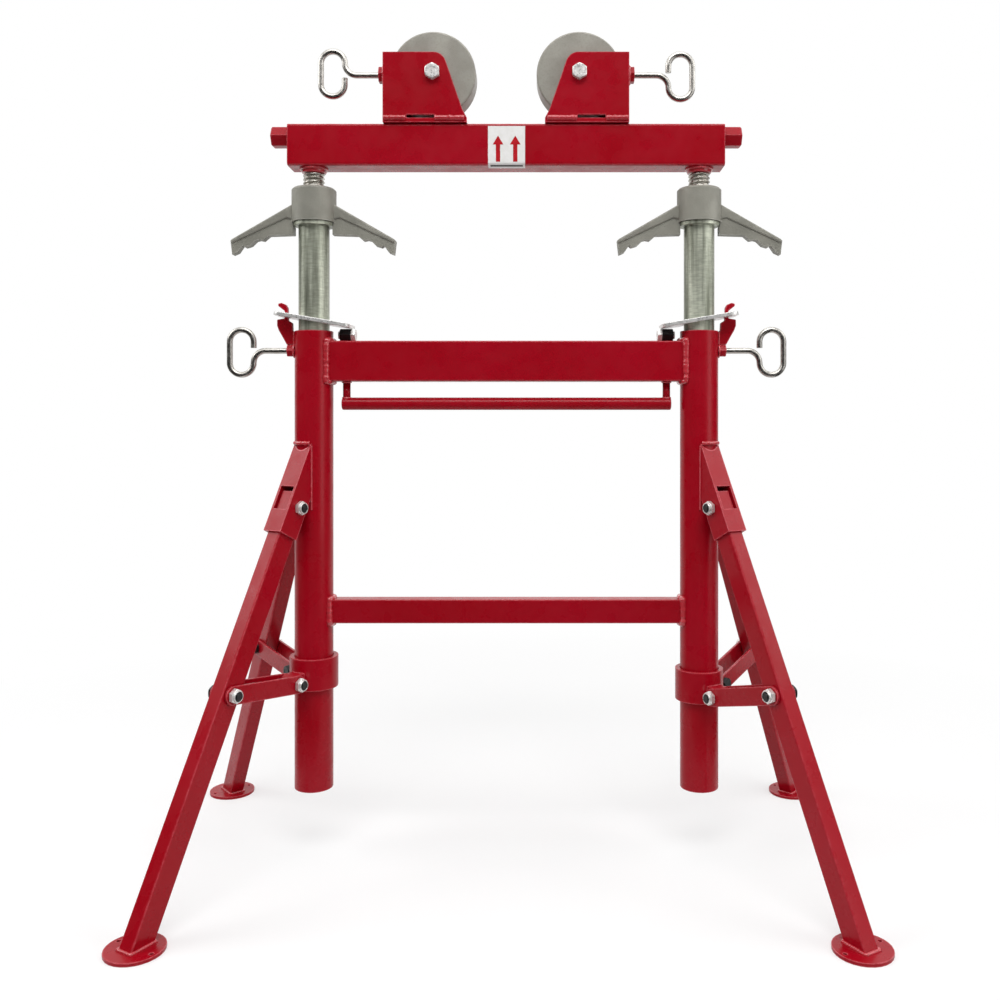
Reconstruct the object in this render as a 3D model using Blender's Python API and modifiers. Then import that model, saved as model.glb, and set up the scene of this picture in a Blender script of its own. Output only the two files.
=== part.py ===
"""Pipe jack stand: two telescopic posts on folding legs carry a beam with two rollers.

Metres, +Z up, +X to the right, and the front of the stand faces -Y.
The origin is on the floor, in the middle of the stand's footprint.
"""
import math

import bmesh
import bpy
from mathutils import Matrix, Vector

# Clearances shared by every fit
SEAM = 0.0003              # between two pieces that are welded or rest on each other
RUNNING_GAP = 0.0004       # radial gap of a bolt or shaft in its hole
OVERRUN = 0.010            # how far a cutter runs past what it cuts
MERGE = 0.00001

# Posts and the tubes inside them
POST_X = 0.306             # post axis from the middle of the stand
POST_RADIUS = 0.03015
POST_WALL = 0.0039
POST_BOTTOM = 0.107
POST_TOP = 0.830
TUBE_RADIUS = 0.02415
TUBE_WALL = 0.0032
TUBE_LENGTH = 0.552
TUBE_SHOWN = 0.172         # above the post, at rest
TUBE_RING_RADIUS = 0.032
TUBE_RING_HEIGHT = 0.006

# Crossbars and the carrying handle
UPPER_BAR_BELOW_POST_TOP = 0.016
UPPER_BAR_HEIGHT = 0.064
UPPER_BAR_DEPTH = 0.039
LOWER_BAR_BELOW_PIVOT = 0.148   # its top, below the legs' pivots
LOWER_BAR_HEIGHT = 0.038
LOWER_BAR_DEPTH = 0.028
BAR_WALL = 0.003
BAR_CORNER = 0.003
HANDLE_END_GAP = 0.01485   # between its end and the post
HANDLE_RADIUS = 0.010
HANDLE_LEG_RADIUS = 0.006
HANDLE_LEG_INSET = 0.001
HANDLE_DROP = 0.035        # from the crossbar's underside to the handle's axis

# Folding legs
LEG_FRONT_ANGLE = math.radians(60)     # from the X axis, seen from above
LEG_REAR_ANGLE = math.radians(51)
LEG_SPLAY = math.radians(27.1)
LEG_PIVOT_REACH = 0.051    # pivot from the post axis
LEG_PIVOT_HEIGHT = 0.554
LEG_WIDTH = 0.0254
LEG_DEPTH = 0.035
LEG_WALL = 0.002
LEG_CORNER = 0.003
LEG_HEAD = 0.0205          # leg tube above its pivot
FOOT_RADIUS = 0.0395
FOOT_THICKNESS = 0.005
FOOT_HOLE_RADIUS = 0.003
FOOT_HOLE_INSET = 0.0075

# Leg brackets: two cheeks joined by an upper and a lower strap
CHEEK_GAP = 0.0006
CHEEK_THICKNESS = 0.004
CHEEK_BELOW_PIVOT = 0.047
CHEEK_INNER_EDGE = 0.0164  # from the leg's middle line towards the post
STRAP_THICKNESS = 0.004
UPPER_STRAP_START = 0.0268 # up the leg from the pivot
LOWER_STRAP_START = 0.011  # down the leg from the pivot

# Sliding collars and their struts
COLLAR_RADIUS = 0.038
COLLAR_BORE_RADIUS = 0.03075
COLLAR_HEIGHT = 0.049
LUG_ABOVE_COLLAR_BOTTOM = 0.015
LUG_REACH = 0.051          # strut bolt from the post axis
LUG_RADIUS = 0.0135
LEFT_LUG_BELOW_PIVOT = 0.272
RIGHT_LUG_BELOW_PIVOT = 0.292
STRUT_BOLT_DOWN_LEG = 0.2886
STRUT_HEIGHT = 0.027
STRUT_THICKNESS = 0.004
STRUT_GAP = 0.0006

# Fasteners
BOLT_RADIUS = 0.006
BOLT_ACROSS = 0.019
BOLT_HEAD = 0.0075
NUT_HEIGHT = 0.0105
NUT_COLLAR_HEIGHT = 0.003
NUT_COLLAR_SHARE = 0.9     # of the nut's half width
BOLT_END = 0.0015          # thread standing out of its nut
AXLE_RADIUS = 0.007
AXLE_ACROSS = 0.022
AXLE_HEAD = 0.009
STOP_BOLT_GRIP = 0.0085
STOP_BOLT_INWARD = 0.0667  # outer face of its head, from the post axis
COS_30 = math.cos(math.radians(30))

# Height lock: a plate that grips the inner tube, and the hook it hangs on
PLATE_TILT = math.radians(9.7)
PLATE_PIVOT_OUTWARD = 0.01585   # from the post
PLATE_PIVOT_ABOVE_POST = 0.0252
PLATE_OUTWARD = 0.0142
PLATE_INWARD = 0.1095
PLATE_WIDTH = 0.060
PLATE_THICKNESS = 0.006
PLATE_CORNER = 0.014
PLATE_HOLE_GAP = 0.002
HOOK_THICKNESS = 0.008
HOOK_SIDE_PLAY = 0.001
HOOK_NECK = 0.006
HOOK_NECK_INNER_PLAY = 0.002
HOOK_NECK_OUTER_PLAY = 0.003
HOOK_REACH = 0.0277        # from the post to its outermost edge
HOOK_THROAT_LOW = 0.0047   # throat floor below the plate's pivot
HOOK_THROAT_HIGH = 0.0068
HOOK_TIP_LENGTH = 0.0104
HOOK_TIP_HEIGHT = 0.013
HOOK_JAW_SHARES = ((0, 0), (0.44, 0), (0.67, 0.28), (0.90, 0.54), (1, 0.72), (1, 0.95))
HOOK_TIP_SHARES = ((0, 0), (0.56, 0.35), (1, 0.62), (1, 0.92), (0.47, 1), (-0.23, 0.77),
                   (-0.5, 0.38))
HOOK_BACK_SHARES = ((0.34, 0.91), (0.11, 0.82), (0.09, 0.52), (0, 0.52))

# Loop-handled screws: clamps on the posts, brakes on the roller brackets
LOOP_WIRE_RADIUS = 0.00475
LOOP_RADIUS = 0.019
LOOP_SIDE = 0.0334
LOOP_END_RUN = 0.0099
CLAMP_BELOW_POST_TOP = 0.031
CLAMP_NUT_ACROSS = 0.018
CLAMP_NUT_LENGTH = 0.01185 # from the post to its outer face
CLAMP_ROD = 0.035          # from the nut's outer face to the bend
BRAKE_ROD = 0.0354
BRAKE_NUT_ACROSS = 0.023
BRAKE_NUT_LENGTH = 0.010
BRAKE_RISE = 0.0048        # above the roller's axle
SCREW_TIP_GAP = 0.0004

# Wing nuts
HUB_RADIUS = 0.035
HUB_HEIGHT = 0.054
HUB_ROUND = 0.003
WING_THICKNESS = 0.016
WING_TIP_X = 0.1306
WING_ROOT_DROP = 0.0223    # below the hub's top
WING_TIP_DROP = 0.0828
WING_LOW_DROP = 0.1051
WING_FOOT_DROP = 0.0736
WING_FOOT_X = 0.0307
WING_ROOT_SHARE = 0.8      # of the hub's height
WING_EDGE_SHARES = ((0.98, 1), (0.916, 0.88), (0.859, 0.54), (0.829, 0.63), (0.759, 0.54),
                    (0.698, 0.29), (0.658, 0.25), (0.608, 0.29), (0.538, 0.04))

# Jack screws
SCREW_RADIUS = 0.017
SCREW_PITCH = 0.006
SCREW_THREAD_DEPTH = 0.002
SCREW_THREADS = 27
SCREW_LENGTH = 0.2877
SCREW_BOSS_RADIUS = 0.020
SCREW_BOSS_HEIGHT = 0.0077

# Beam and the spreading screw inside it
BEAM_OVERHANG = 0.037      # past the post axis
BEAM_DEPTH = 0.052
BEAM_HEIGHT = 0.066
BEAM_ABOVE_WING_NUT = 0.032
BEAM_WALL = 0.004
BEAM_CORNER = 0.005
CAP_THICKNESS = 0.004
SLOT_INWARD = 0.0338       # from the roller's axle
SLOT_OUTWARD = 0.1422
SLOT_WIDTH = 0.014
SPREADER_RADIUS = 0.009
SPREADER_ABOVE_BEAM_BOTTOM = 0.0497
SPREADER_HEX_ACROSS = 0.030
SPREADER_HEX_LENGTH = 0.029
SPREADER_HEX_CHAMFER = 0.002

# Roller carriers
ROLLER_X = 0.1148
ROLLER_RADIUS = 0.067
ROLLER_SIDE_GAP = 0.003    # between its rim and the bracket's plates
ROLLER_ROUND = 0.003
ROLLER_HUB_RADIUS = 0.012
AXLE_ABOVE_BEAM = 0.078
HUB_SIDE_GAP = 0.0006
BRACKET_OUTWARD = 0.0778   # from the roller's axle
BRACKET_INWARD = 0.0539
BRACKET_DEPTH = 0.060
BRACKET_PLATE = 0.006
BRACKET_BASE = 0.0067
BRACKET_HEIGHT = 0.1097
BRACKET_SLOPE_ANGLE = math.radians(71)
BRACKET_CORNER = 0.020
BRACKET_TOE_INWARD = 0.0465
BRACKET_TOE_HEIGHT = 0.0138
NOTCH_INWARD = 0.0028
NOTCH_OUTWARD = 0.0408
NOTCH_HEIGHT = 0.005
CARRIER_NUT_OUTWARD = 0.0162
CARRIER_NUT_LENGTH = 0.030
CARRIER_NUT_DEPTH = 0.030
CARRIER_NUT_HEIGHT = 0.023
CARRIER_NECK_LENGTH = 0.028
CARRIER_NECK_GAP = 0.0005

# Facets of round pieces
ROUND_STEPS = 28
SMALL_STEPS = 12
THREAD_STEPS = 10
ARC_STEPS = 6

FINISHES = {
    "red_paint": ((0.34, 0.004, 0.014), 0.3, 0.0),
    "zinc": ((0.62, 0.61, 0.56), 0.3, 1.0),
    "galvanised": ((0.42, 0.44, 0.38), 0.35, 1.0),
    "chrome": ((0.78, 0.78, 0.76), 0.12, 1.0),
    "cast_grey": ((0.30, 0.31, 0.28), 0.55, 0.3),
    "roller_grey": ((0.36, 0.35, 0.31), 0.5, 0.2),
}

# Sizes that follow from the ones above
POST_SEAM_RADIUS = POST_RADIUS + SEAM
TUBE_TOP = POST_TOP + TUBE_SHOWN
TUBE_BOTTOM = TUBE_TOP - TUBE_LENGTH
UPPER_BAR_TOP = POST_TOP - UPPER_BAR_BELOW_POST_TOP
LOWER_BAR_TOP = LEG_PIVOT_HEIGHT - LOWER_BAR_BELOW_PIVOT
HANDLE_HALF_LENGTH = POST_X - POST_RADIUS - HANDLE_END_GAP
STOP_BOLT_X = POST_X - STOP_BOLT_INWARD
PLATE_PIVOT_X = POST_X + POST_RADIUS + PLATE_PIVOT_OUTWARD
PLATE_PIVOT_HEIGHT = POST_TOP + PLATE_PIVOT_ABOVE_POST
CLAMP_HEIGHT = POST_TOP - CLAMP_BELOW_POST_TOP
CLAMP_NUT_X = POST_X + POST_RADIUS + CLAMP_NUT_LENGTH
BEAM_HALF_LENGTH = POST_X + BEAM_OVERHANG
BEAM_BOTTOM = TUBE_TOP + HUB_HEIGHT + BEAM_ABOVE_WING_NUT
BEAM_TOP = BEAM_BOTTOM + BEAM_HEIGHT
SPREADER_HEIGHT = BEAM_BOTTOM + SPREADER_ABOVE_BEAM_BOTTOM
AXLE_HEIGHT = BEAM_TOP + AXLE_ABOVE_BEAM
SLOT_INNER_X = ROLLER_X - SLOT_INWARD
SLOT_OUTER_X = ROLLER_X + SLOT_OUTWARD
BRACKET_INNER_X = ROLLER_X - BRACKET_INWARD
BRACKET_OUTER_X = ROLLER_X + BRACKET_OUTWARD
BRACKET_TOE_X = ROLLER_X - BRACKET_TOE_INWARD
NOTCH_INNER_X = ROLLER_X - NOTCH_INWARD
NOTCH_OUTER_X = ROLLER_X + NOTCH_OUTWARD
CARRIER_NUT_X = ROLLER_X + CARRIER_NUT_OUTWARD
CHEEK_INSIDE = LEG_WIDTH / 2 + CHEEK_GAP
CHEEK_OUTSIDE = CHEEK_INSIDE + CHEEK_THICKNESS
STRUT_INSIDE = LEG_WIDTH / 2 + STRUT_GAP
STRUT_OUTSIDE = STRUT_INSIDE + STRUT_THICKNESS
FOOT_REACH = LEG_PIVOT_REACH + LEG_PIVOT_HEIGHT * math.tan(LEG_SPLAY)
# The posts stand a little behind the middle of the footprint, because the front legs reach further
POST_Y = FOOT_REACH * (math.sin(LEG_FRONT_ANGLE) - math.sin(LEG_REAR_ANGLE)) / 2


def new_collection(name):
    collection = bpy.data.collections.new(name)
    bpy.context.scene.collection.children.link(collection)
    return collection


def new_empty(name, location, turn=0.0, parent=None):
    """An empty on a joint's axis or at a shared place, turned about Z."""
    made = bpy.data.objects.new(name, None)
    made.location = location
    made.rotation_euler = (0, 0, turn)
    made.parent = parent
    PARTS.objects.link(made)
    return made


for old in list(bpy.data.objects):
    bpy.data.objects.remove(old, do_unlink=True)
PARTS = new_collection("pipe_jack_stand")
CUTTERS = new_collection("cutters")
STAND = new_empty("stand_frame", (0, POST_Y, 0))


def empty(name, location, turn=0.0):
    return new_empty(name, location, turn, STAND)


def material(name, finish):
    colour, roughness, metallic = FINISHES[finish]
    made = bpy.data.materials.new(name + "_" + finish)
    made.use_nodes = True
    shader = made.node_tree.nodes["Principled BSDF"]
    shader.inputs["Base Color"].default_value = (*colour, 1)
    shader.inputs["Roughness"].default_value = roughness
    shader.inputs["Metallic"].default_value = metallic
    return made


def place(obj, finish, parent=None):
    """Link a piece, give it its own material and hang it on its empty."""
    PARTS.objects.link(obj)
    obj.data.materials.clear()
    obj.data.materials.append(material(obj.name, finish))
    obj.parent = parent or STAND
    return obj


def place_cutter(obj, parent=None):
    CUTTERS.objects.link(obj)
    obj.hide_render = True
    obj.display_type = "WIRE"
    obj.parent = parent or STAND
    return obj


def smooth(data):
    data.shade_smooth()
    data.set_sharp_from_angle(angle=math.radians(35))


def mesh_object(name, bm):
    bmesh.ops.recalc_face_normals(bm, faces=bm.faces)
    data = bpy.data.meshes.new(name)
    bm.to_mesh(data)
    bm.free()
    smooth(data)
    return bpy.data.objects.new(name, data)


AXIS_TURN = {
    "X": Matrix.Rotation(math.radians(90), 4, "Y"),
    "Y": Matrix.Rotation(math.radians(-90), 4, "X"),
    "Z": Matrix.Identity(4),
}


def box_bm(size, centre=(0, 0, 0), round_axis=None, radius=0.0):
    """A box, with the edges that run along one axis rounded."""
    bm = bmesh.new()
    bmesh.ops.create_cube(bm, size=1)
    bmesh.ops.scale(bm, vec=size, verts=bm.verts)
    if round_axis:
        along = "XYZ".index(round_axis)
        edges = [e for e in bm.edges if abs((e.verts[0].co - e.verts[1].co).normalized()[along]) > COS_30]
        bmesh.ops.bevel(bm, geom=edges, offset=radius, segments=2, affect="EDGES", profile=0.5)
    bmesh.ops.translate(bm, vec=centre, verts=bm.verts)
    return bm


def round_bm(radius, length, axis="Z", centre=(0, 0, 0), steps=ROUND_STEPS):
    """A cylinder or prism along one axis, centred. A prism of six sides along X lies on a flat."""
    bm = bmesh.new()
    bmesh.ops.create_cone(bm, cap_ends=True, segments=steps, radius1=radius, radius2=radius, depth=length)
    bmesh.ops.transform(bm, matrix=Matrix.Translation(centre) @ AXIS_TURN[axis], verts=bm.verts)
    return bm


def hex_bm(across_flats, length, axis="Z", centre=(0, 0, 0)):
    return round_bm(across_flats / 2 / COS_30, length, axis, centre, steps=6)


def outline_object(name, points, thickness, upright=True):
    """A plate cut to an outline. Upright plates lie in XZ, the others in XY."""
    curve = bpy.data.curves.new(name, "CURVE")
    curve.dimensions = "2D"
    curve.fill_mode = "BOTH"
    curve.extrude = thickness / 2
    spline = curve.splines.new("POLY")
    spline.points.add(len(points) - 1)
    for point, (x, y) in zip(spline.points, points):
        point.co = (x, y, 0, 1)
    spline.use_cyclic_u = True
    guide = bpy.data.objects.new(name + "_outline", curve)
    bpy.context.scene.collection.objects.link(guide)
    bm = bmesh.new()
    bm.from_mesh(taken_mesh(guide))
    bmesh.ops.remove_doubles(bm, verts=bm.verts, dist=MERGE)
    if upright:
        bmesh.ops.rotate(bm, matrix=Matrix.Rotation(math.radians(90), 3, "X"), verts=bm.verts)
    return mesh_object(name, bm)


def taken_mesh(obj):
    """The evaluated mesh of a linked object, which is then removed."""
    bpy.context.view_layer.update()
    data = bpy.data.meshes.new_from_object(obj.evaluated_get(bpy.context.evaluated_depsgraph_get()))
    bpy.data.objects.remove(obj, do_unlink=True)
    return data


def turned(name, profile, steps=ROUND_STEPS, closed=True):
    """A turned piece from its half profile (radius, height), which runs down its outer side."""
    count = len(profile)
    edges = [(i, (i + 1) % count) for i in range(count if closed else count - 1)]
    data = bpy.data.meshes.new(name)
    data.from_pydata([(r, 0, z) for r, z in profile], edges, [])
    obj = bpy.data.objects.new(name, data)
    screw = obj.modifiers.new("turn", "SCREW")
    screw.axis = "Z"
    screw.steps = steps
    screw.render_steps = steps
    screw.use_merge_vertices = True
    screw.merge_threshold = MERGE
    return obj


def sleeve(outer, inner, low, high):
    return [(outer, high), (outer, low), (inner, low), (inner, high)]


def boolean(obj, other, operation):
    mod = obj.modifiers.new(operation.lower(), "BOOLEAN")
    mod.object = other
    mod.operation = operation
    mod.solver = "EXACT"


def cut(obj, bm, parent=None):
    boolean(obj, place_cutter(mesh_object(obj.name + "_cut", bm), parent), "DIFFERENCE")


def fuse(obj, other, parent=None):
    """Weld a second shape on, as one solid."""
    boolean(obj, place_cutter(other, parent), "UNION")


def arc(centre, radius, start, stop, steps=ARC_STEPS):
    """Points on an arc, from start to stop in degrees."""
    angles = [math.radians(start + (stop - start) * i / steps) for i in range(steps + 1)]
    return [(centre[0] + radius * math.cos(a), centre[1] + radius * math.sin(a)) for a in angles]


def fastener_mesh(name, radius, across, head, grip):
    """A hex bolt with its locking nut: the head stands above Z = 0, the nut starts at -grip."""
    nut_body = NUT_HEIGHT - NUT_COLLAR_HEIGHT
    collar_radius = NUT_COLLAR_SHARE * across / 2
    length = grip + NUT_HEIGHT + BOLT_END + head / 2
    bolt = mesh_object(name, hex_bm(across, head, centre=(0, 0, head / 2)))
    bpy.context.scene.collection.objects.link(bolt)
    shapes = [
        round_bm(radius, length, centre=(0, 0, head / 2 - length / 2), steps=SMALL_STEPS),
        hex_bm(across, nut_body, centre=(0, 0, -grip - nut_body / 2)),
        round_bm(collar_radius, NUT_HEIGHT - nut_body / 2, steps=SMALL_STEPS,
                 centre=(0, 0, -grip - (NUT_HEIGHT + nut_body / 2) / 2)),
    ]
    helpers = [mesh_object(name + "_shape", bm) for bm in shapes]
    for helper in helpers:
        bpy.context.scene.collection.objects.link(helper)
        boolean(bolt, helper, "UNION")
    data = taken_mesh(bolt)
    for helper in helpers:
        bpy.data.objects.remove(helper, do_unlink=True)
    smooth(data)
    return data


def fastener(name, data, matrix):
    """One copy of a fastener, turned and moved into its place."""
    copy = data.copy()
    copy.transform(matrix)
    return bpy.data.objects.new(name, copy)


def along_y(y, side, x=0.0):
    """Stands a fastener on a face at y, with its head on the side of side * Y."""
    return Matrix.Translation((x, y, 0)) @ Matrix.Rotation(math.radians(-90 * side), 4, "X")


def build_post(side, label):
    """Outer pipe, with a hole for the clamp screw in its outer wall."""
    post = turned("post_" + label, sleeve(POST_RADIUS, POST_RADIUS - POST_WALL, POST_BOTTOM, POST_TOP))
    post.location = (side * POST_X, 0, 0)
    place(post, "red_paint")
    length = POST_RADIUS + OVERRUN
    hole_x = side * (POST_X + length / 2)
    cut(post, round_bm(LOOP_WIRE_RADIUS + RUNNING_GAP, length, "X", (hole_x, 0, CLAMP_HEIGHT), SMALL_STEPS))


def cope(obj, side):
    """Shape the end of a welded piece to the round post."""
    cut(obj, round_bm(POST_SEAM_RADIUS, POST_TOP * 2, centre=(side * POST_X, 0, POST_TOP)))


def build_crossbar(name, top, height, depth):
    """Rectangular tube between the posts."""
    centre = (0, 0, top - height / 2)
    length = 2 * POST_X
    bar = mesh_object(name, box_bm((length, depth, height), centre, "X", BAR_CORNER))
    place(bar, "red_paint")
    cut(bar, box_bm((length + OVERRUN, depth - 2 * BAR_WALL, height - 2 * BAR_WALL), centre))
    for side in (-1, 1):
        cope(bar, side)


def build_handle():
    """Thick bar hung under the upper crossbar on two thinner legs."""
    underside = UPPER_BAR_TOP - UPPER_BAR_HEIGHT
    axis = underside - HANDLE_DROP
    top = underside - SEAM
    bar = mesh_object("carry_handle", round_bm(HANDLE_RADIUS, 2 * HANDLE_HALF_LENGTH, "X", (0, 0, axis),
                                               SMALL_STEPS))
    place(bar, "red_paint")
    for side in (-1, 1):
        x = side * (HANDLE_HALF_LENGTH - HANDLE_LEG_RADIUS - HANDLE_LEG_INSET)
        leg = round_bm(HANDLE_LEG_RADIUS, top - axis, centre=(x, 0, (top + axis) / 2), steps=SMALL_STEPS)
        fuse(bar, mesh_object("handle_leg_shape", leg))


def hook_outline(side):
    """Side view of the lock hook: lower jaw, throat, neck, tip and the edge on the post."""
    base = POST_X + POST_SEAM_RADIUS
    low = CLAMP_HEIGHT + CLAMP_NUT_ACROSS / 2 + SEAM
    throat = PLATE_PIVOT_HEIGHT - HOOK_THROAT_LOW
    jaw = [(base + x * HOOK_REACH, low + z * (throat - low)) for x, z in HOOK_JAW_SHARES]
    tip_low = PLATE_PIVOT_HEIGHT + HOOK_THROAT_HIGH
    tip = [(PLATE_PIVOT_X + x * HOOK_TIP_LENGTH, tip_low + z * HOOK_TIP_HEIGHT) for x, z in HOOK_TIP_SHARES]
    back = [(base + x * HOOK_REACH, low + z * (throat - low)) for x, z in HOOK_BACK_SHARES]
    neck = (PLATE_PIVOT_X - HOOK_NECK, back[0][1])
    points = jaw + [(PLATE_PIVOT_X, throat)] + tip + [neck] + back[1:]
    return [(side * x, z) for x, z in points]


def build_hook(side, label):
    hook = outline_object("lock_hook_" + label, hook_outline(side), HOOK_THICKNESS)
    place(hook, "red_paint")


def build_lock_plate(side, label):
    """Tilted plate that grips the inner tube; it turns in the hook's throat."""
    axis = empty("lock_plate_axis_" + label, (side * PLATE_PIVOT_X, 0, PLATE_PIVOT_HEIGHT))
    y = PLATE_WIDTH / 2 - PLATE_CORNER
    inner = -PLATE_INWARD + PLATE_CORNER
    outer = PLATE_OUTWARD - PLATE_CORNER
    points = []
    for centre, start in (((inner, -y), 270), ((inner, y), 180), ((outer, y), 90), ((outer, -y), 0)):
        points += arc(centre, PLATE_CORNER, start, start - 90, ARC_STEPS // 2)
    points = [(side * x, y) for x, y in points]
    plate = outline_object("lock_plate_" + label, points, PLATE_THICKNESS, upright=False)
    place(plate, "zinc", axis)
    tilt = Matrix.Rotation(-side * PLATE_TILT, 4, "Y")
    plate.data.transform(tilt)
    through = PLATE_THICKNESS * 2
    hole_x = -side * (PLATE_PIVOT_X - POST_X) / math.cos(PLATE_TILT)
    hole = round_bm(TUBE_RADIUS + PLATE_HOLE_GAP, through, centre=(hole_x, 0, 0))
    slot_start = HOOK_NECK + HOOK_NECK_INNER_PLAY
    slot_length = slot_start + HOOK_NECK_OUTER_PLAY
    slot_x = side * (slot_length / 2 - slot_start)
    slot = box_bm((slot_length, HOOK_THICKNESS + 2 * HOOK_SIDE_PLAY, through), (slot_x, 0, 0))
    for bm in (hole, slot):
        bmesh.ops.transform(bm, matrix=tilt, verts=bm.verts)
        cut(plate, bm, axis)


def build_stop_bolt(side, label):
    """Bolt and nut lying on the upper crossbar, where the plate's free end rests."""
    data = fastener_mesh("stop_bolt", BOLT_RADIUS, BOLT_ACROSS, BOLT_HEAD, STOP_BOLT_GRIP)
    height = UPPER_BAR_TOP + SEAM + BOLT_ACROSS / 2
    turn = Matrix.Rotation(math.radians(-90 * side), 4, "Y")
    matrix = Matrix.Translation((side * (STOP_BOLT_X + BOLT_HEAD), 0, height)) @ turn
    place(fastener("stop_bolt_" + label, data, matrix), "zinc")


def loop_points(rod, reach):
    """Centre line of a screw: along its rod, down a bend, up the loop's far side and back."""
    r = LOOP_RADIUS
    top = LOOP_SIDE - r
    points = [(-reach, 0), (rod, 0)]
    points += arc((rod, -r), r, 90, 0, ARC_STEPS // 2)[1:]
    points += arc((rod + 2 * r, -r), r, 180, 360)[1:]
    points += arc((rod + 2 * r, top), r, 0, 180)
    points.append((rod + r, top - LOOP_END_RUN))
    return points


def build_loop_screw(name, location, side, rod, reach, flip, parent=None):
    """A screw that points out to one side; flip turns its loop over."""
    axis = new_empty(name + "_axis", location, parent=parent or STAND)
    curve = bpy.data.curves.new(name, "CURVE")
    curve.dimensions = "3D"
    curve.bevel_depth = LOOP_WIRE_RADIUS
    curve.bevel_resolution = 2
    curve.use_fill_caps = True
    points = loop_points(rod, reach)
    spline = curve.splines.new("POLY")
    spline.points.add(len(points) - 1)
    for point, (x, z) in zip(spline.points, points):
        point.co = (side * x, 0, flip * z, 1)
    place(bpy.data.objects.new(name, curve), "chrome", axis)


def build_clamp(side, label):
    """Nut welded to the post, and the screw that presses on the inner tube."""
    length = CLAMP_NUT_X - POST_X - TUBE_RADIUS
    middle = side * (CLAMP_NUT_X - length / 2)
    centre = (middle, 0, CLAMP_HEIGHT)
    nut = mesh_object("clamp_nut_" + label, hex_bm(CLAMP_NUT_ACROSS, length, "X", centre))
    place(nut, "red_paint")
    cope(nut, side)
    cut(nut, round_bm(LOOP_WIRE_RADIUS + RUNNING_GAP, length + OVERRUN, "X", centre, SMALL_STEPS))
    build_loop_screw("clamp_screw_" + label, (side * CLAMP_NUT_X, 0, CLAMP_HEIGHT), side, CLAMP_ROD,
                     length - SCREW_TIP_GAP, 1)


def leg_turn(side, row):
    """Angle about Z of a leg's outward direction; row is -1 for the front and 1 for the rear."""
    angle = LEG_FRONT_ANGLE if row < 0 else LEG_REAR_ANGLE
    return math.atan2(row * math.sin(angle), side * math.cos(angle))


def nut_side(side, row):
    """The nuts are on the side of the leg that looks towards the middle of the stand."""
    return 1 if math.sin(leg_turn(side, row)) * side > 0 else -1


def on_leg(down, out):
    """A place beside the leg as (reach from the post axis, height)."""
    s = math.sin(LEG_SPLAY)
    c = math.cos(LEG_SPLAY)
    return (LEG_PIVOT_REACH + down * s + out * c, LEG_PIVOT_HEIGHT - down * c + out * s)


def down_to_reach(out, reach):
    """How far down the leg a line beside it comes to a given reach."""
    return (reach - LEG_PIVOT_REACH - out * math.cos(LEG_SPLAY)) / math.sin(LEG_SPLAY)


def build_bracket(name, frame):
    """Two cheeks and two straps round the leg's head, shaped to the post."""
    inside = LEG_DEPTH / 2 + SEAM
    back = inside + STRAP_THICKNESS
    in_post = POST_RADIUS / 2
    outline = [
        on_leg(down_to_reach(back, in_post), back), on_leg(CHEEK_BELOW_PIVOT, back),
        on_leg(CHEEK_BELOW_PIVOT, -CHEEK_INNER_EDGE),
        on_leg(down_to_reach(-CHEEK_INNER_EDGE, in_post), -CHEEK_INNER_EDGE),
    ]
    bracket = outline_object(name, outline, 2 * CHEEK_OUTSIDE)
    place(bracket, "red_paint", frame)
    pivot = Matrix.Translation((LEG_PIVOT_REACH, 0, LEG_PIVOT_HEIGHT)) @ Matrix.Rotation(-LEG_SPLAY, 4, "Y")
    depth = 2 * POST_RADIUS
    channel = box_bm((depth, 2 * CHEEK_INSIDE, POST_X), (inside - depth / 2, 0, 0))
    window_height = UPPER_STRAP_START + LOWER_STRAP_START
    window = box_bm((STRAP_THICKNESS * 4, 2 * CHEEK_INSIDE, window_height),
                    (back, 0, UPPER_STRAP_START - window_height / 2))
    hole = round_bm(BOLT_RADIUS + RUNNING_GAP, CHEEK_OUTSIDE * 3, "Y", steps=SMALL_STEPS)
    for bm in (channel, window, hole):
        bmesh.ops.transform(bm, matrix=pivot, verts=bm.verts)
        cut(bracket, bm, frame)
    cut(bracket, round_bm(POST_SEAM_RADIUS, POST_TOP, centre=(0, 0, LEG_PIVOT_HEIGHT)), frame)


def build_leg(name, axis):
    """Rectangular leg tube, hung on its pivot and cut level where it meets its foot."""
    length = LEG_PIVOT_HEIGHT / math.cos(LEG_SPLAY) + LEG_DEPTH + LEG_HEAD
    centre = (0, 0, LEG_HEAD - length / 2)
    leg = mesh_object(name, box_bm((LEG_DEPTH, LEG_WIDTH, length), centre, "Z", LEG_CORNER))
    tilt = Matrix.Rotation(-LEG_SPLAY, 4, "Y")
    leg.data.transform(tilt)
    place(leg, "red_paint", axis)
    bore = box_bm((LEG_DEPTH - 2 * LEG_WALL, LEG_WIDTH - 2 * LEG_WALL, length + OVERRUN), centre)
    bmesh.ops.transform(bore, matrix=tilt, verts=bore.verts)
    cut(leg, bore, axis)
    cut(leg, round_bm(POST_RADIUS + CHEEK_GAP, LEG_DEPTH * 4, centre=(-LEG_PIVOT_REACH, 0, 0)), axis)
    top_of_foot = LEG_PIVOT_HEIGHT - FOOT_THICKNESS - SEAM
    slab = LEG_DEPTH * 4
    cut(leg, box_bm((slab, slab, slab), (FOOT_REACH - LEG_PIVOT_REACH, 0, -top_of_foot - slab / 2)), axis)
    cut(leg, round_bm(BOLT_RADIUS + RUNNING_GAP, LEG_WIDTH * 2, "Y", steps=SMALL_STEPS), axis)


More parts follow.
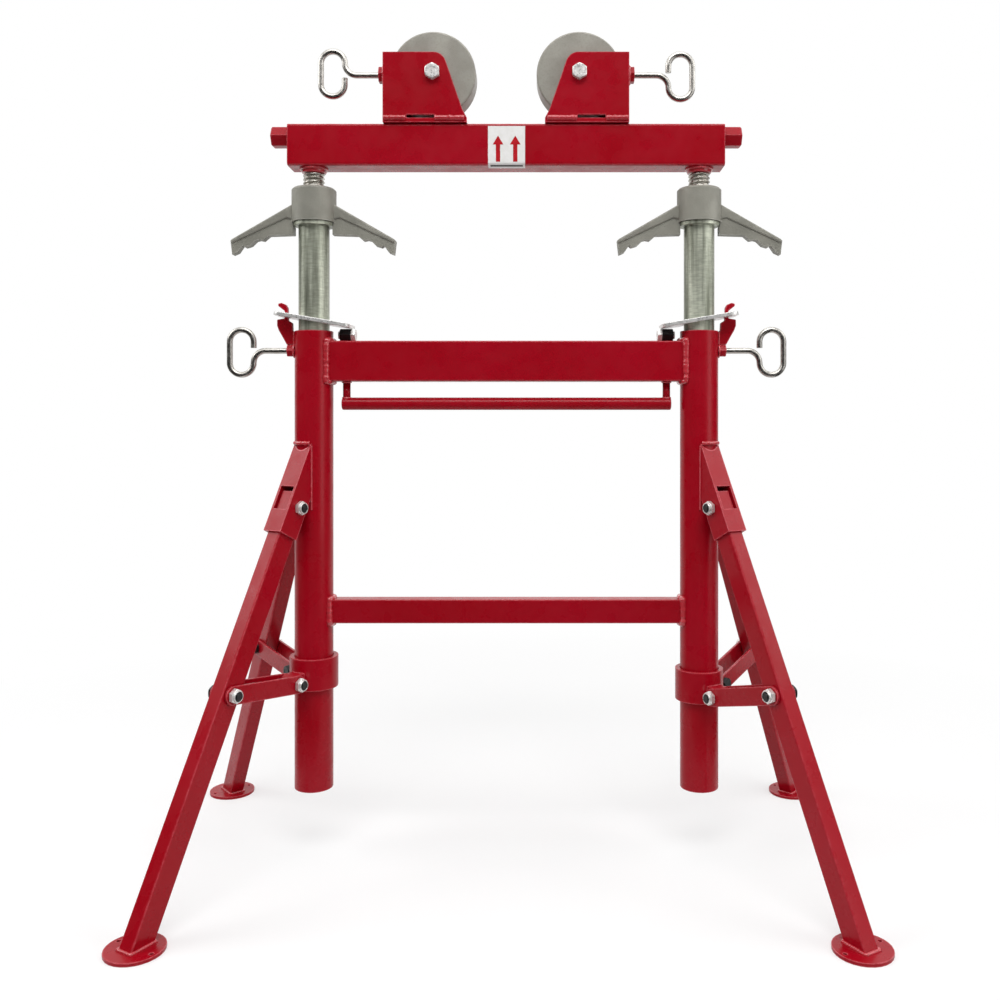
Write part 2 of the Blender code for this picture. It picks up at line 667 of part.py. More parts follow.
def build_foot(name, axis):
    """Round plate under the leg, with two holes for nails."""
    x = FOOT_REACH - LEG_PIVOT_REACH
    z = FOOT_THICKNESS / 2 - LEG_PIVOT_HEIGHT
    foot = mesh_object(name, round_bm(FOOT_RADIUS, FOOT_THICKNESS, centre=(x, 0, z)))
    place(foot, "red_paint", axis)
    for side in (-1, 1):
        y = side * (FOOT_RADIUS - FOOT_HOLE_INSET)
        cut(foot, round_bm(FOOT_HOLE_RADIUS, FOOT_THICKNESS * 3, centre=(x, y, z), steps=SMALL_STEPS), axis)


def lug_height(side):
    return LEG_PIVOT_HEIGHT - (LEFT_LUG_BELOW_PIVOT if side < 0 else RIGHT_LUG_BELOW_PIVOT)


def build_strut(name, axis, side, nuts_at):
    """Two flat bars from the collar to the leg, held together by their bolts.

    The bolt at the leg has no shank between the bars, so that the leg can fold freely.
    """
    start = Vector((LUG_REACH, lug_height(side)))
    run = Vector(on_leg(STRUT_BOLT_DOWN_LEG, 0)) - start
    length = run.length
    tilt = Matrix.Rotation(-math.atan2(run.y, run.x), 4, "Y")
    radius = STRUT_HEIGHT / 2
    outline = arc((0, 0), radius, 90, 270) + arc((length, 0), radius, 270, 450)
    shapes = []
    for y in (-1, 1):
        bar = outline_object(name + "_bar", outline, STRUT_THICKNESS)
        bar.data.transform(Matrix.Translation((0, y * (STRUT_INSIDE + STRUT_OUTSIDE) / 2, 0)))
        shapes.append(bar)
    data = fastener_mesh("strut_bolt", BOLT_RADIUS, BOLT_ACROSS, BOLT_HEAD, 2 * STRUT_OUTSIDE)
    head_face = -nuts_at * STRUT_OUTSIDE
    for x in (0, length):
        shapes.append(fastener(name + "_bolt", data, along_y(head_face, -nuts_at, x)))
    for shape in shapes:
        shape.data.transform(tilt)
    strut = shapes[0]
    strut.name = name
    place(strut, "red_paint", axis)
    for shape in shapes[1:]:
        fuse(strut, shape, axis)
    gap = box_bm((STRUT_HEIGHT, 2 * (STRUT_INSIDE - SEAM), STRUT_HEIGHT), (length, 0, 0))
    bmesh.ops.transform(gap, matrix=tilt, verts=gap.verts)
    cut(strut, gap, axis)


def build_collar(side, label):
    """Sleeve that slides on the post, with a lug for each of its two struts."""
    axis = empty("collar_axis_" + label, (side * POST_X, 0, lug_height(side)))
    low = -LUG_ABOVE_COLLAR_BOTTOM
    collar = turned("collar_" + label, sleeve(COLLAR_RADIUS, COLLAR_BORE_RADIUS, low, low + COLLAR_HEIGHT))
    place(collar, "red_paint", axis)
    wall = (COLLAR_RADIUS + COLLAR_BORE_RADIUS) / 2
    for row in (-1, 1):
        turn = Matrix.Rotation(leg_turn(side, row), 4, "Z")
        lug = outline_object("lug_shape", [(wall, LUG_RADIUS), (wall, -LUG_RADIUS)]
                             + arc((LUG_REACH, 0), LUG_RADIUS, -90, 90), LEG_WIDTH)
        lug.data.transform(turn)
        fuse(collar, lug, axis)
        hole = round_bm(BOLT_RADIUS + RUNNING_GAP, LEG_WIDTH * 2, "Y", (LUG_REACH, 0, 0), SMALL_STEPS)
        bmesh.ops.transform(hole, matrix=turn, verts=hole.verts)
        cut(collar, hole, axis)


def build_legs(side, side_name):
    bolt = fastener_mesh("pivot_bolt", BOLT_RADIUS, BOLT_ACROSS, BOLT_HEAD, 2 * (CHEEK_OUTSIDE + SEAM))
    for row, row_name in ((-1, "front"), (1, "rear")):
        label = row_name + "_" + side_name
        turn = leg_turn(side, row)
        nuts_at = nut_side(side, row)
        out = Vector((math.cos(turn), math.sin(turn), 0))
        post = Vector((side * POST_X, 0, 0))
        pivot = post + out * LEG_PIVOT_REACH + Vector((0, 0, LEG_PIVOT_HEIGHT))
        lug = post + out * LUG_REACH + Vector((0, 0, lug_height(side)))
        build_bracket("leg_bracket_" + label, empty("bracket_frame_" + label, post, turn))
        leg_axis = empty("leg_axis_" + label, pivot, turn)
        build_leg("leg_" + label, leg_axis)
        build_foot("foot_" + label, leg_axis)
        build_strut("strut_" + label, empty("strut_axis_" + label, lug, turn), side, nuts_at)
        head_face = -nuts_at * (CHEEK_OUTSIDE + SEAM)
        pivot_bolt = fastener("leg_pivot_bolt_" + label, bolt, along_y(head_face, -nuts_at))
        place(pivot_bolt, "zinc", leg_axis)


def build_inner_tube(side, label):
    """Galvanised pipe with the thrust ring that carries the wing nut."""
    bore = TUBE_RADIUS - TUBE_WALL
    ring_low = TUBE_TOP - TUBE_RING_HEIGHT
    profile = [(TUBE_RING_RADIUS, TUBE_TOP), (TUBE_RING_RADIUS, ring_low), (TUBE_RADIUS, ring_low),
               (TUBE_RADIUS, TUBE_BOTTOM), (bore, TUBE_BOTTOM), (bore, TUBE_TOP)]
    tube = turned("inner_tube_" + label, profile)
    tube.location = (side * POST_X, 0, 0)
    place(tube, "galvanised")


def wing_outline(side):
    """One wing: a straight top edge, a blunt tip and three finger scallops below."""
    root = HUB_RADIUS - WING_ROOT_DROP / 2
    drop = WING_LOW_DROP - WING_FOOT_DROP
    points = [(root, -WING_ROOT_DROP), (WING_TIP_X, -WING_TIP_DROP)]
    points += [(x * WING_TIP_X, -WING_FOOT_DROP - z * drop) for x, z in WING_EDGE_SHARES]
    under_hub = -HUB_HEIGHT * WING_ROOT_SHARE
    points += [(WING_FOOT_X, -WING_FOOT_DROP), (WING_FOOT_X, under_hub), (root, under_hub)]
    return [(side * x, z) for x, z in points]


def build_wing_nut(side, label):
    """Cast nut that turns on the inner tube's thrust ring and lifts the jack screw."""
    axis = empty("wing_nut_axis_" + label, (side * POST_X, 0, TUBE_TOP + HUB_HEIGHT))
    bore = SCREW_RADIUS + RUNNING_GAP
    profile = [(HUB_RADIUS - HUB_ROUND, 0), (HUB_RADIUS, -HUB_ROUND), (HUB_RADIUS, -HUB_HEIGHT),
               (bore, -HUB_HEIGHT), (bore, 0)]
    nut = turned("wing_nut_" + label, profile)
    place(nut, "cast_grey", axis)
    for wing in (-1, 1):
        fuse(nut, outline_object("wing_shape", wing_outline(wing), WING_THICKNESS), axis)
    cut(nut, round_bm(bore, HUB_HEIGHT * 3), axis)
    space = TUBE_RING_HEIGHT + 3 * SEAM
    seat = (0, 0, SEAM - HUB_HEIGHT - space / 2)
    cut(nut, round_bm(TUBE_RING_RADIUS + 2 * RUNNING_GAP, space, centre=seat), axis)


def build_jack_screw(side, label):
    """Coarse screw welded under the beam: weld boss, thread and plain lower end."""
    root = SCREW_RADIUS - SCREW_THREAD_DEPTH
    profile = [(0, 0), (SCREW_BOSS_RADIUS, 0), (SCREW_RADIUS, -SCREW_BOSS_HEIGHT)]
    for thread in range(SCREW_THREADS):
        z = -SCREW_BOSS_HEIGHT - thread * SCREW_PITCH
        profile.append((root, z - SCREW_PITCH / 2))
        profile.append((SCREW_RADIUS, z - SCREW_PITCH))
    thread_end = -SCREW_BOSS_HEIGHT - (SCREW_THREADS + 1 / 2) * SCREW_PITCH
    profile += [(root, thread_end), (root, -SCREW_LENGTH), (0, -SCREW_LENGTH)]
    screw = turned("jack_screw_" + label, profile, THREAD_STEPS, closed=False)
    screw.location = (side * POST_X, 0, BEAM_BOTTOM - SEAM)
    place(screw, "zinc")


def build_beam():
    """Rectangular tube with a long slot in its top for each roller carrier."""
    middle = BEAM_BOTTOM + BEAM_HEIGHT / 2
    centre = (0, 0, middle)
    size = (2 * BEAM_HALF_LENGTH, BEAM_DEPTH, BEAM_HEIGHT)
    beam = mesh_object("beam", box_bm(size, centre, "X", BEAM_CORNER))
    place(beam, "red_paint")
    inside_depth = BEAM_DEPTH - 2 * BEAM_WALL
    inside_height = BEAM_HEIGHT - 2 * BEAM_WALL
    cut(beam, box_bm((2 * BEAM_HALF_LENGTH + OVERRUN, inside_depth, inside_height), centre))
    for side, label in ((-1, "left"), (1, "right")):
        slot_x = side * (SLOT_INNER_X + SLOT_OUTER_X) / 2
        cut(beam, box_bm((SLOT_OUTER_X - SLOT_INNER_X, SLOT_WIDTH, BEAM_WALL * 4), (slot_x, 0, BEAM_TOP)))
        x = side * (BEAM_HALF_LENGTH - CAP_THICKNESS / 2)
        size = (CAP_THICKNESS, inside_depth - 2 * SEAM, inside_height - 2 * SEAM)
        cap = mesh_object("beam_cap_" + label, box_bm(size, (x, 0, middle)))
        place(cap, "red_paint")
        cut(cap, round_bm(SPREADER_RADIUS + RUNNING_GAP, CAP_THICKNESS + OVERRUN, "X",
                          (x, 0, SPREADER_HEIGHT), SMALL_STEPS))


def build_spreader():
    """Rod through the beam that moves both carriers, with a hex head at each end."""
    axis = empty("spreading_screw_axis", (0, 0, SPREADER_HEIGHT))
    inner = BEAM_HALF_LENGTH + SEAM
    rod = mesh_object("spreading_screw", round_bm(SPREADER_RADIUS, 2 * inner + SPREADER_HEX_LENGTH, "X",
                                                  steps=SMALL_STEPS))
    place(rod, "red_paint", axis)
    for side in (-1, 1):
        middle = inner + SPREADER_HEX_LENGTH / 2
        head = hex_bm(SPREADER_HEX_ACROSS, SPREADER_HEX_LENGTH, "X", (side * middle, 0, 0))
        rim = [e for e in head.edges if min(abs(v.co.x) for v in e.verts) > middle]
        bmesh.ops.bevel(head, geom=rim, offset=SPREADER_HEX_CHAMFER, segments=1, affect="EDGES", profile=0.5)
        fuse(rod, mesh_object("hex_shape", head), axis)


def bracket_points():
    """Side view of a roller bracket on the right: base, back edge, rounded top and slope."""
    low = BEAM_TOP + SEAM
    high = low + BRACKET_HEIGHT
    base = low + BRACKET_BASE
    toe = base + BRACKET_TOE_HEIGHT
    corner_x = BRACKET_TOE_X + (high - toe) / math.tan(BRACKET_SLOPE_ANGLE)
    arc_x = corner_x + BRACKET_CORNER * math.tan(BRACKET_SLOPE_ANGLE / 2)
    slope = 90 + math.degrees(BRACKET_SLOPE_ANGLE)
    points = [(BRACKET_INNER_X, low), (BRACKET_OUTER_X, low), (BRACKET_OUTER_X, high)]
    points += arc((arc_x, high - BRACKET_CORNER), BRACKET_CORNER, 90, slope)
    points += [(BRACKET_TOE_X, toe), (BRACKET_INNER_X, base)]
    return points


def build_carrier(side, label):
    """Roller bracket with its brake nut, the nut block in the beam and the axle."""
    axis = empty("carrier_axis_" + label, (side * ROLLER_X, 0, AXLE_HEIGHT))
    to_axis = Matrix.Translation((-side * ROLLER_X, 0, -AXLE_HEIGHT))
    outline = [(side * x, z) for x, z in bracket_points()]
    bracket = outline_object("roller_bracket_" + label, outline, BRACKET_DEPTH)
    bracket.data.transform(to_axis)
    place(bracket, "red_paint", axis)
    base = BEAM_TOP + SEAM + BRACKET_BASE
    high = base + BRACKET_HEIGHT
    back = BRACKET_OUTER_X - BRACKET_PLATE
    front = BRACKET_INNER_X - OVERRUN
    pocket = box_bm((back - front, BRACKET_DEPTH - 2 * BRACKET_PLATE, high - base),
                    (side * (back + front) / 2, 0, (high + base) / 2))
    notch = box_bm((NOTCH_OUTER_X - NOTCH_INNER_X, BRACKET_DEPTH + OVERRUN, NOTCH_HEIGHT),
                   (side * (NOTCH_OUTER_X + NOTCH_INNER_X) / 2, 0, base + NOTCH_HEIGHT / 2))
    axle = round_bm(AXLE_RADIUS + RUNNING_GAP, BRACKET_DEPTH * 2, "Y", (side * ROLLER_X, 0, AXLE_HEIGHT),
                    SMALL_STEPS)
    brake_height = AXLE_HEIGHT + BRAKE_RISE
    nut_face = BRACKET_OUTER_X + BRAKE_NUT_LENGTH
    nut_length = BRAKE_NUT_LENGTH + BRACKET_PLATE / 2
    nut = hex_bm(BRAKE_NUT_ACROSS, nut_length, "X", (side * (nut_face - nut_length / 2), 0, brake_height))
    thread = round_bm(LOOP_WIRE_RADIUS + RUNNING_GAP, 2 * (nut_length + OVERRUN), "X",
                      (side * BRACKET_OUTER_X, 0, brake_height), SMALL_STEPS)
    for bm in (pocket, notch, axle, nut, thread):
        bmesh.ops.transform(bm, matrix=to_axis, verts=bm.verts)
    cut(bracket, pocket, axis)
    cut(bracket, notch, axis)
    cut(bracket, axle, axis)
    fuse(bracket, mesh_object("brake_nut_shape", nut), axis)
    cut(bracket, thread, axis)
    # The tip stops short of the roller's rim at the height of the brake
    rim_x = ROLLER_X + math.sqrt(ROLLER_RADIUS ** 2 - BRAKE_RISE ** 2)
    reach = nut_face - rim_x - 2 * SCREW_TIP_GAP
    build_loop_screw("brake_screw_" + label, (side * (nut_face - ROLLER_X), 0, BRAKE_RISE), side,
                     BRAKE_ROD, reach, side, axis)
    build_carrier_nut(side, label, axis)
    face = BRACKET_DEPTH / 2 + SEAM
    axle_bolt = fastener_mesh("axle_bolt", AXLE_RADIUS, AXLE_ACROSS, AXLE_HEAD, 2 * face)
    place(fastener("axle_bolt_" + label, axle_bolt, along_y(-face, -1)), "zinc", axis)


def build_carrier_nut(side, label, axis):
    """Block that the spreading screw drives, with a neck up through the beam's slot."""
    x = side * (CARRIER_NUT_X - ROLLER_X)
    z = SPREADER_HEIGHT - AXLE_HEIGHT
    block = box_bm((CARRIER_NUT_LENGTH, CARRIER_NUT_DEPTH, CARRIER_NUT_HEIGHT), (x, 0, z))
    nut = mesh_object("carrier_nut_" + label, block)
    place(nut, "zinc", axis)
    top = BEAM_TOP - AXLE_HEIGHT
    low = z + CARRIER_NUT_HEIGHT / 4
    neck_size = (CARRIER_NECK_LENGTH, SLOT_WIDTH - 2 * CARRIER_NECK_GAP, top - low)
    neck = box_bm(neck_size, (x, 0, (top + low) / 2))
    fuse(nut, mesh_object("neck_shape", neck), axis)
    bore = round_bm(SPREADER_RADIUS + RUNNING_GAP, CARRIER_NUT_LENGTH + OVERRUN, "X", (x, 0, z), SMALL_STEPS)
    cut(nut, bore, axis)


def build_roller(side, label):
    """Steel roller with rounded rims and a hub that reaches to the bracket's plates."""
    axis = empty("roller_axis_" + label, (side * ROLLER_X, 0, AXLE_HEIGHT))
    inside = BRACKET_DEPTH / 2 - BRACKET_PLATE
    half = inside - ROLLER_SIDE_GAP
    hub = inside - HUB_SIDE_GAP
    bore = AXLE_RADIUS + RUNNING_GAP
    upper = [(bore, hub), (ROLLER_HUB_RADIUS, hub), (ROLLER_HUB_RADIUS, half),
             (ROLLER_RADIUS - ROLLER_ROUND, half), (ROLLER_RADIUS, half - ROLLER_ROUND)]
    roller = turned("roller_" + label, upper + [(r, -z) for r, z in reversed(upper)], ROUND_STEPS)
    roller.rotation_euler = (math.radians(90), 0, 0)
    place(roller, "roller_grey", axis)


def build_stand():
    build_crossbar("upper_crossbar", UPPER_BAR_TOP, UPPER_BAR_HEIGHT, UPPER_BAR_DEPTH)
    build_crossbar("lower_crossbar", LOWER_BAR_TOP, LOWER_BAR_HEIGHT, LOWER_BAR_DEPTH)
    build_handle()
    build_beam()
    build_spreader()
    for side, label in ((-1, "left"), (1, "right")):
        build_post(side, label)
        build_hook(side, label)
        build_lock_plate(side, label)
        build_stop_bolt(side, label)
        build_clamp(side, label)
        build_collar(side, label)
        build_legs(side, label)
        build_inner_tube(side, label)
        build_wing_nut(side, label)
        build_jack_screw(side, label)
        build_carrier(side, label)
        build_roller(side, label)


build_stand()
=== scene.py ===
# %% [markdown]
# # Dressing a pipe jack stand
#
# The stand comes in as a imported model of 57 steel solids on 26 bodies. Its shapes and joints
# are right but bare. This lesson gives it what the photograph shows: glossy red powder coat,
# galvanised pipe, cast wing nuts, turned rollers, bright bent rod, welds and fasteners.

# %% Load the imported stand
import math

import bmesh
import bpy
from mathutils import Matrix, Vector


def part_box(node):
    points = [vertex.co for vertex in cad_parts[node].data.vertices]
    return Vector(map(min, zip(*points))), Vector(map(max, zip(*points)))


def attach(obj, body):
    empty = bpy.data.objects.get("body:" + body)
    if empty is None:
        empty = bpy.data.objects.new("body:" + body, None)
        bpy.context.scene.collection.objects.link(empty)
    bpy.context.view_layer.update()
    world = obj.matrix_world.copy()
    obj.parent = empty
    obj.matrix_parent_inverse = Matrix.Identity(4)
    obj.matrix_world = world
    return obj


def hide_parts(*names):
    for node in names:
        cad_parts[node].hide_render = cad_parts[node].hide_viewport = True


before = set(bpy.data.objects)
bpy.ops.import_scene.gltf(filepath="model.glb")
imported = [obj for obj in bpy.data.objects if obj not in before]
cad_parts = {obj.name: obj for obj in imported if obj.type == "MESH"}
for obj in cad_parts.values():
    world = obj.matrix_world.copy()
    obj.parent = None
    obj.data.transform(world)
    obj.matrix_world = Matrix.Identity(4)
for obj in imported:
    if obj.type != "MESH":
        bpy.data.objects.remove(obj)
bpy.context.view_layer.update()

# %% [markdown]
# ## Places
#
# Everything is in metres, and every piece is made where it belongs, so a few places are read
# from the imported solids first. The posts are the stand's backbone: most welds and bolts are
# placed from a post's axis, an angle round it, and a height.

# %% Read the main places from the solids
SIDES = ((-1, "left"), (1, "right"))
ROWS = ((-1, "front"), (1, "rear"))
LEGS = [(side, row, row_name + "_" + side_name) for side, side_name in SIDES for row, row_name in ROWS]


def middle(node):
    low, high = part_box(node)
    return (low + high) / 2


def half_size(node):
    low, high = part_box(node)
    return (high - low) / 2


POST_X = middle("post_right").x
POST_Y = middle("post_right").y
POST_RADIUS = half_size("post_right").x
BEAM_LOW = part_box("beam")[0]
AXLE = middle("roller_right")
print("post axis", round(POST_X, 4), round(POST_Y, 4), "radius", round(POST_RADIUS, 5))

# %% [markdown]
# ## Materials
#
# A real finish is never one flat colour. Each material here starts from the same shader and
# gets its own colour variation, roughness and bump from noise on Object coordinates, which are
# metres on these pieces. So a noise scale of 900 makes grains of about a millimetre.

# %% Helpers that build a material
def add(tree, kind, inputs=(), **settings):
    """Add a node; each of its inputs is linked to a socket or set to a value."""
    node = tree.nodes.new(kind)
    for name, value in settings.items():
        setattr(node, name, value)
    for socket, source in dict(inputs).items():
        if isinstance(source, bpy.types.NodeSocket):
            tree.links.new(source, node.inputs[socket])
        else:
            node.inputs[socket].default_value = source
    return node


def maths(tree, operation, *values):
    """The result of one math node."""
    return add(tree, "ShaderNodeMath", dict(enumerate(values)), operation=operation).outputs[0]


def finish(name, metallic=0.0, roughness=0.4, specular=0.5, coat=0.0):
    """A new material; returns it with its node tree and its shader."""
    made = bpy.data.materials.new(name)
    made.use_nodes = True
    shader = made.node_tree.nodes["Principled BSDF"]
    values = {"Metallic": metallic, "Roughness": roughness, "Specular IOR Level": specular,
              "Coat Weight": coat, "Coat Roughness": 0.08}
    for socket, value in values.items():
        shader.inputs[socket].default_value = value
    return made, made.node_tree, shader


def noise(tree, scale, detail=3.0, stretch=(1, 1, 1)):
    """Noise in object space; stretch below 1 draws it out along that axis."""
    place = add(tree, "ShaderNodeTexCoord").outputs["Object"]
    mapping = add(tree, "ShaderNodeMapping", {"Vector": place, "Scale": stretch})
    texture = add(tree, "ShaderNodeTexNoise",
                  {"Vector": mapping.outputs["Vector"], "Scale": scale, "Detail": detail})
    return texture.outputs["Fac"]


def spread(tree, value, low, high, start=0.35, stop=0.65):
    """Map the range start to stop of a pattern onto low to high."""
    node = add(tree, "ShaderNodeMapRange",
               {"Value": value, "From Min": start, "From Max": stop, "To Min": low, "To Max": high})
    return node.outputs["Result"]


def blend(tree, factor, first, second):
    """Mix two colours; either may be a socket."""
    first, second = [c if isinstance(c, bpy.types.NodeSocket) else (*c, 1) for c in (first, second)]
    return add(tree, "ShaderNodeMix", {0: factor, 6: first, 7: second}, data_type="RGBA").outputs[2]


def relief(tree, shader, height, distance):
    """Add one layer of bump on top of those already there."""
    bump = add(tree, "ShaderNodeBump", {"Height": height, "Distance": distance, "Strength": 1.0})
    normal = shader.inputs["Normal"]
    if normal.is_linked:
        tree.links.new(normal.links[0].from_socket, bump.inputs["Normal"])
    tree.links.new(bump.outputs["Normal"], normal)


def edges(tree, radius):
    """1 along sharp edges and 0 on flats, by comparing a bevelled normal with the true one."""
    bevel = add(tree, "ShaderNodeBevel", {"Radius": radius}, samples=4)
    geometry = add(tree, "ShaderNodeNewGeometry")
    dot = add(tree, "ShaderNodeVectorMath", {0: bevel.outputs["Normal"], 1: geometry.outputs["Normal"]},
              operation="DOT_PRODUCT")
    return spread(tree, dot.outputs["Value"], 1, 0, 0.93, 0.995)


# %% [markdown]
# The powder coat is a deep crimson. Along sharp edges it is lightened towards pink, a painted
# highlight for the light that rounded edges catch, and its skin has a faint orange peel of
# about 2 mm. Over a weld it is glossier and bumpier, and paler as a painted highlight for its round bead.

# %% Red powder coat
def powder_coat(name, weld=False):
    made, tree, shader = finish(name, specular=0.5 if weld else 0.17, coat=0.6 if weld else 0.08)
    deep, light = (0.335, 0.0006, 0.0075), (0.365, 0.0014, 0.0115)
    # Painted highlight: a weld's crimson is made paler to stand for the light its round bead catches.
    if weld:
        deep, light = (0.41, 0.007, 0.016), (0.52, 0.026, 0.040)
    cloudy = blend(tree, spread(tree, noise(tree, 7, 2), 0, 1), deep, light)
    # Painted highlight: patches along sharp edges are lightened towards pink, as if they caught the light.
    edge_highlight = maths(tree, "MULTIPLY", edges(tree, 0.0023), spread(tree, noise(tree, 160, 2), 0.40, 0.95))
    tree.links.new(blend(tree, edge_highlight, cloudy, (0.76, 0.17, 0.20)), shader.inputs["Base Color"])
    tree.links.new(spread(tree, noise(tree, 40), 0.24, 0.36), shader.inputs["Roughness"])
    relief(tree, shader, noise(tree, 480, 1), 0.00008)
    if weld:
        relief(tree, shader, noise(tree, 260, 2), 0.0003)
    return made


red_paint = powder_coat("red_powder_coat")
highlit_weld_paint = powder_coat("red_weld_with_painted_highlight", weld=True)
print("paint", red_paint.name, len(red_paint.node_tree.nodes), "nodes")

# %% [markdown]
# The metals differ most in how their pattern runs. Galvanised pipe has long vertical streaks
# under faint rings, zinc plate is nearly even, and bent bright rod is smooth and a little
# cloudy. The castings are painted a warm matte grey over a pitted skin.

# %% Galvanised pipe, zinc plate, bright rod and dark steel
def metal(name, dark, light, rough, pattern, stretch=(1, 1, 1), grain=900, depth=0.00003,
          metallic=1.0, rings=0):
    made, tree, shader = finish(name, metallic=metallic)
    base = spread(tree, noise(tree, pattern, 4, stretch), 0, 1)
    if rings:
        base = maths(tree, "MULTIPLY", base, spread(tree, noise(tree, rings, 3, (0.2, 0.2, 1)), 0.72, 1.12))
    tree.links.new(blend(tree, base, dark, light), shader.inputs["Base Color"])
    tree.links.new(spread(tree, noise(tree, pattern * 2, 3, stretch), *rough), shader.inputs["Roughness"])
    relief(tree, shader, noise(tree, grain, 2, stretch), depth)
    return made


galvanised = metal("galvanised_pipe", (0.15, 0.16, 0.118), (0.63, 0.66, 0.54), (0.34, 0.5), 75,
                   stretch=(1, 1, 0.06), grain=500, depth=0.00006, metallic=0.5, rings=420)
zinc = metal("zinc_plate", (0.70, 0.695, 0.675), (0.86, 0.85, 0.83), (0.26, 0.42), 150, metallic=0.55,
             grain=500, depth=0.00001)
bright_rod = metal("bright_rod", (0.40, 0.385, 0.355), (0.54, 0.52, 0.485), (0.28, 0.40), 120, grain=900,
                   depth=0.000004)
screw_steel = metal("screw_steel", (0.30, 0.28, 0.24), (0.62, 0.60, 0.55), (0.25, 0.45), 120)
black_steel = metal("black_steel", (0.005, 0.005, 0.0055), (0.014, 0.0135, 0.014), (0.32, 0.5), 200,
                    metallic=0.2)


cast_grey, tree, shader = finish("cast_grey", metallic=0.15, roughness=0.55, specular=0.4)
body = blend(tree, spread(tree, noise(tree, 22, 4), 0, 1), (0.235, 0.230, 0.196), (0.300, 0.293, 0.250))
worn = maths(tree, "MULTIPLY", edges(tree, 0.0025), spread(tree, noise(tree, 90, 2), 0.1, 0.55))
tree.links.new(blend(tree, worn, body, (0.50, 0.49, 0.46)), shader.inputs["Base Color"])
tree.links.new(spread(tree, noise(tree, 60), 0.45, 0.65), shader.inputs["Roughness"])
relief(tree, shader, noise(tree, 340, 3), 0.0004)
print("metals", [m.name for m in (galvanised, zinc, bright_rod, screw_steel, black_steel, cast_grey)])

# %% [markdown]
# A roller is turned on a lathe, so its marks are rings round the axle. A wave texture on the
# distance from the axle draws them, once for each roller, because the axles are apart.

# %% Turned rollers
def turned_grey(name, centre):
    made, tree, shader = finish(name, metallic=0.2, roughness=0.5, specular=0.4)
    place = add(tree, "ShaderNodeTexCoord").outputs["Object"]
    mapping = add(tree, "ShaderNodeMapping", {"Vector": place, "Location": -centre})
    rings = add(tree, "ShaderNodeTexWave",
                {"Vector": mapping.outputs["Vector"], "Scale": 130, "Distortion": 1.2},
                wave_type="RINGS", rings_direction="Y")
    body = blend(tree, spread(tree, noise(tree, 30, 4), 0, 1), (0.275, 0.263, 0.228), (0.345, 0.332, 0.290))
    worn = spread(tree, noise(tree, 400, 2), 0, 0.35, 0.5, 0.72)
    tree.links.new(blend(tree, worn, body, (0.22, 0.205, 0.18)), shader.inputs["Base Color"])
    tree.links.new(spread(tree, rings.outputs["Fac"], 0.42, 0.6, 0, 1), shader.inputs["Roughness"])
    relief(tree, shader, rings.outputs["Fac"], 0.00004)
    return made


roller_grey = {s: turned_grey("turned_roller_" + s, middle("roller_" + s)) for _, s in SIDES}
print("roller materials", len(roller_grey))

# %% [markdown]
# ## Making a piece
#
# A piece starts as a bmesh. Cut edges on real steel are never razor sharp, and it is the small
# rounding that catches the light, so each piece gets a narrow bevel on its sharp edges and
# normals weighted by area, which keep the flats flat. The modifiers are then baked into a
# plain mesh.

# %% Helpers that finish a piece
def baked(obj):
    """Bake an object's modifiers into a plain mesh."""
    bpy.context.view_layer.update()
    graph = bpy.context.evaluated_depsgraph_get()
    data = bpy.data.meshes.new_from_object(obj.evaluated_get(graph), preserve_all_data_layers=True,
                                           depsgraph=graph)
    obj.modifiers.clear()
    obj.data = data
    return obj


def piece(name, bm, body, material, bevel=0.0, nodes=(), segments=2):
    """Turn a bmesh into a finished piece that rides on a body and stands for some nodes."""
    data = bpy.data.meshes.new(name)
    bm.to_mesh(data)
    bm.free()
    obj = bpy.data.objects.new(name, data)
    bpy.context.scene.collection.objects.link(obj)
    data.materials.append(material)
    data.shade_smooth()
    if bevel:
        rounding = obj.modifiers.new("rounding", "BEVEL")
        rounding.width = bevel
        rounding.segments = segments
        rounding.limit_method = "ANGLE"
        rounding.angle_limit = math.radians(40)
        rounding.miter_outer = "MITER_ARC"
    weighted = obj.modifiers.new("flats", "WEIGHTED_NORMAL")
    weighted.weight = 80
    baked(obj)
    obj.data.name = name
    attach(obj, body)
    if nodes:
        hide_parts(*nodes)
    return obj


def welded_copy(node):
    """A solid's triangles, joined at their doubles and with flat faces made whole."""
    bm = bmesh.new()
    bm.from_mesh(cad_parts[node].data)
    bmesh.ops.remove_doubles(bm, verts=bm.verts, dist=0.00002)
    bmesh.ops.dissolve_limit(bm, angle_limit=math.radians(0.6), verts=bm.verts, edges=bm.edges)
    return bm


def dress(nodes, body, material, bevel):
    """One piece for each node, from its own solid."""
    for node in nodes:
        made = piece(node + "_skin", welded_copy(node), body, material, bevel, (node,))
        print(body, made.name, len(made.data.polygons), "faces")


def paint(nodes, body, bevel):
    dress(nodes, body, red_paint, bevel)


def join(whole, bm):
    """Add one bmesh to another."""
    loose = bpy.data.meshes.new("loose")
    bm.to_mesh(loose)
    bm.free()
    whole.from_mesh(loose)
    bpy.data.meshes.remove(loose)


# %% [markdown]
# ## The painted frame and legs
#
# These shapes are already in the solids, so each piece is a copy of its solid with rounded
# edges. Tubes get a 0.6 mm edge, and flame-cut plates and the forged hook a wider one.

# %% Frame, legs and collars
paint(("post_left", "post_right", "upper_crossbar", "lower_crossbar"), "frame", 0.0006)
paint(("lock_hook_left", "lock_hook_right"), "frame", 0.0014)
paint(("clamp_nut_left", "clamp_nut_right"), "frame", 0.0012)
for _, _, label in LEGS:
    paint(("leg_bracket_" + label,), "frame", 0.0018)
    paint(("leg_" + label,), "leg_" + label, 0.0006)
    paint(("foot_" + label,), "leg_" + label, 0.0009)
for _, side in SIDES:
    paint(("collar_" + side,), "collar_" + side, 0.0009)

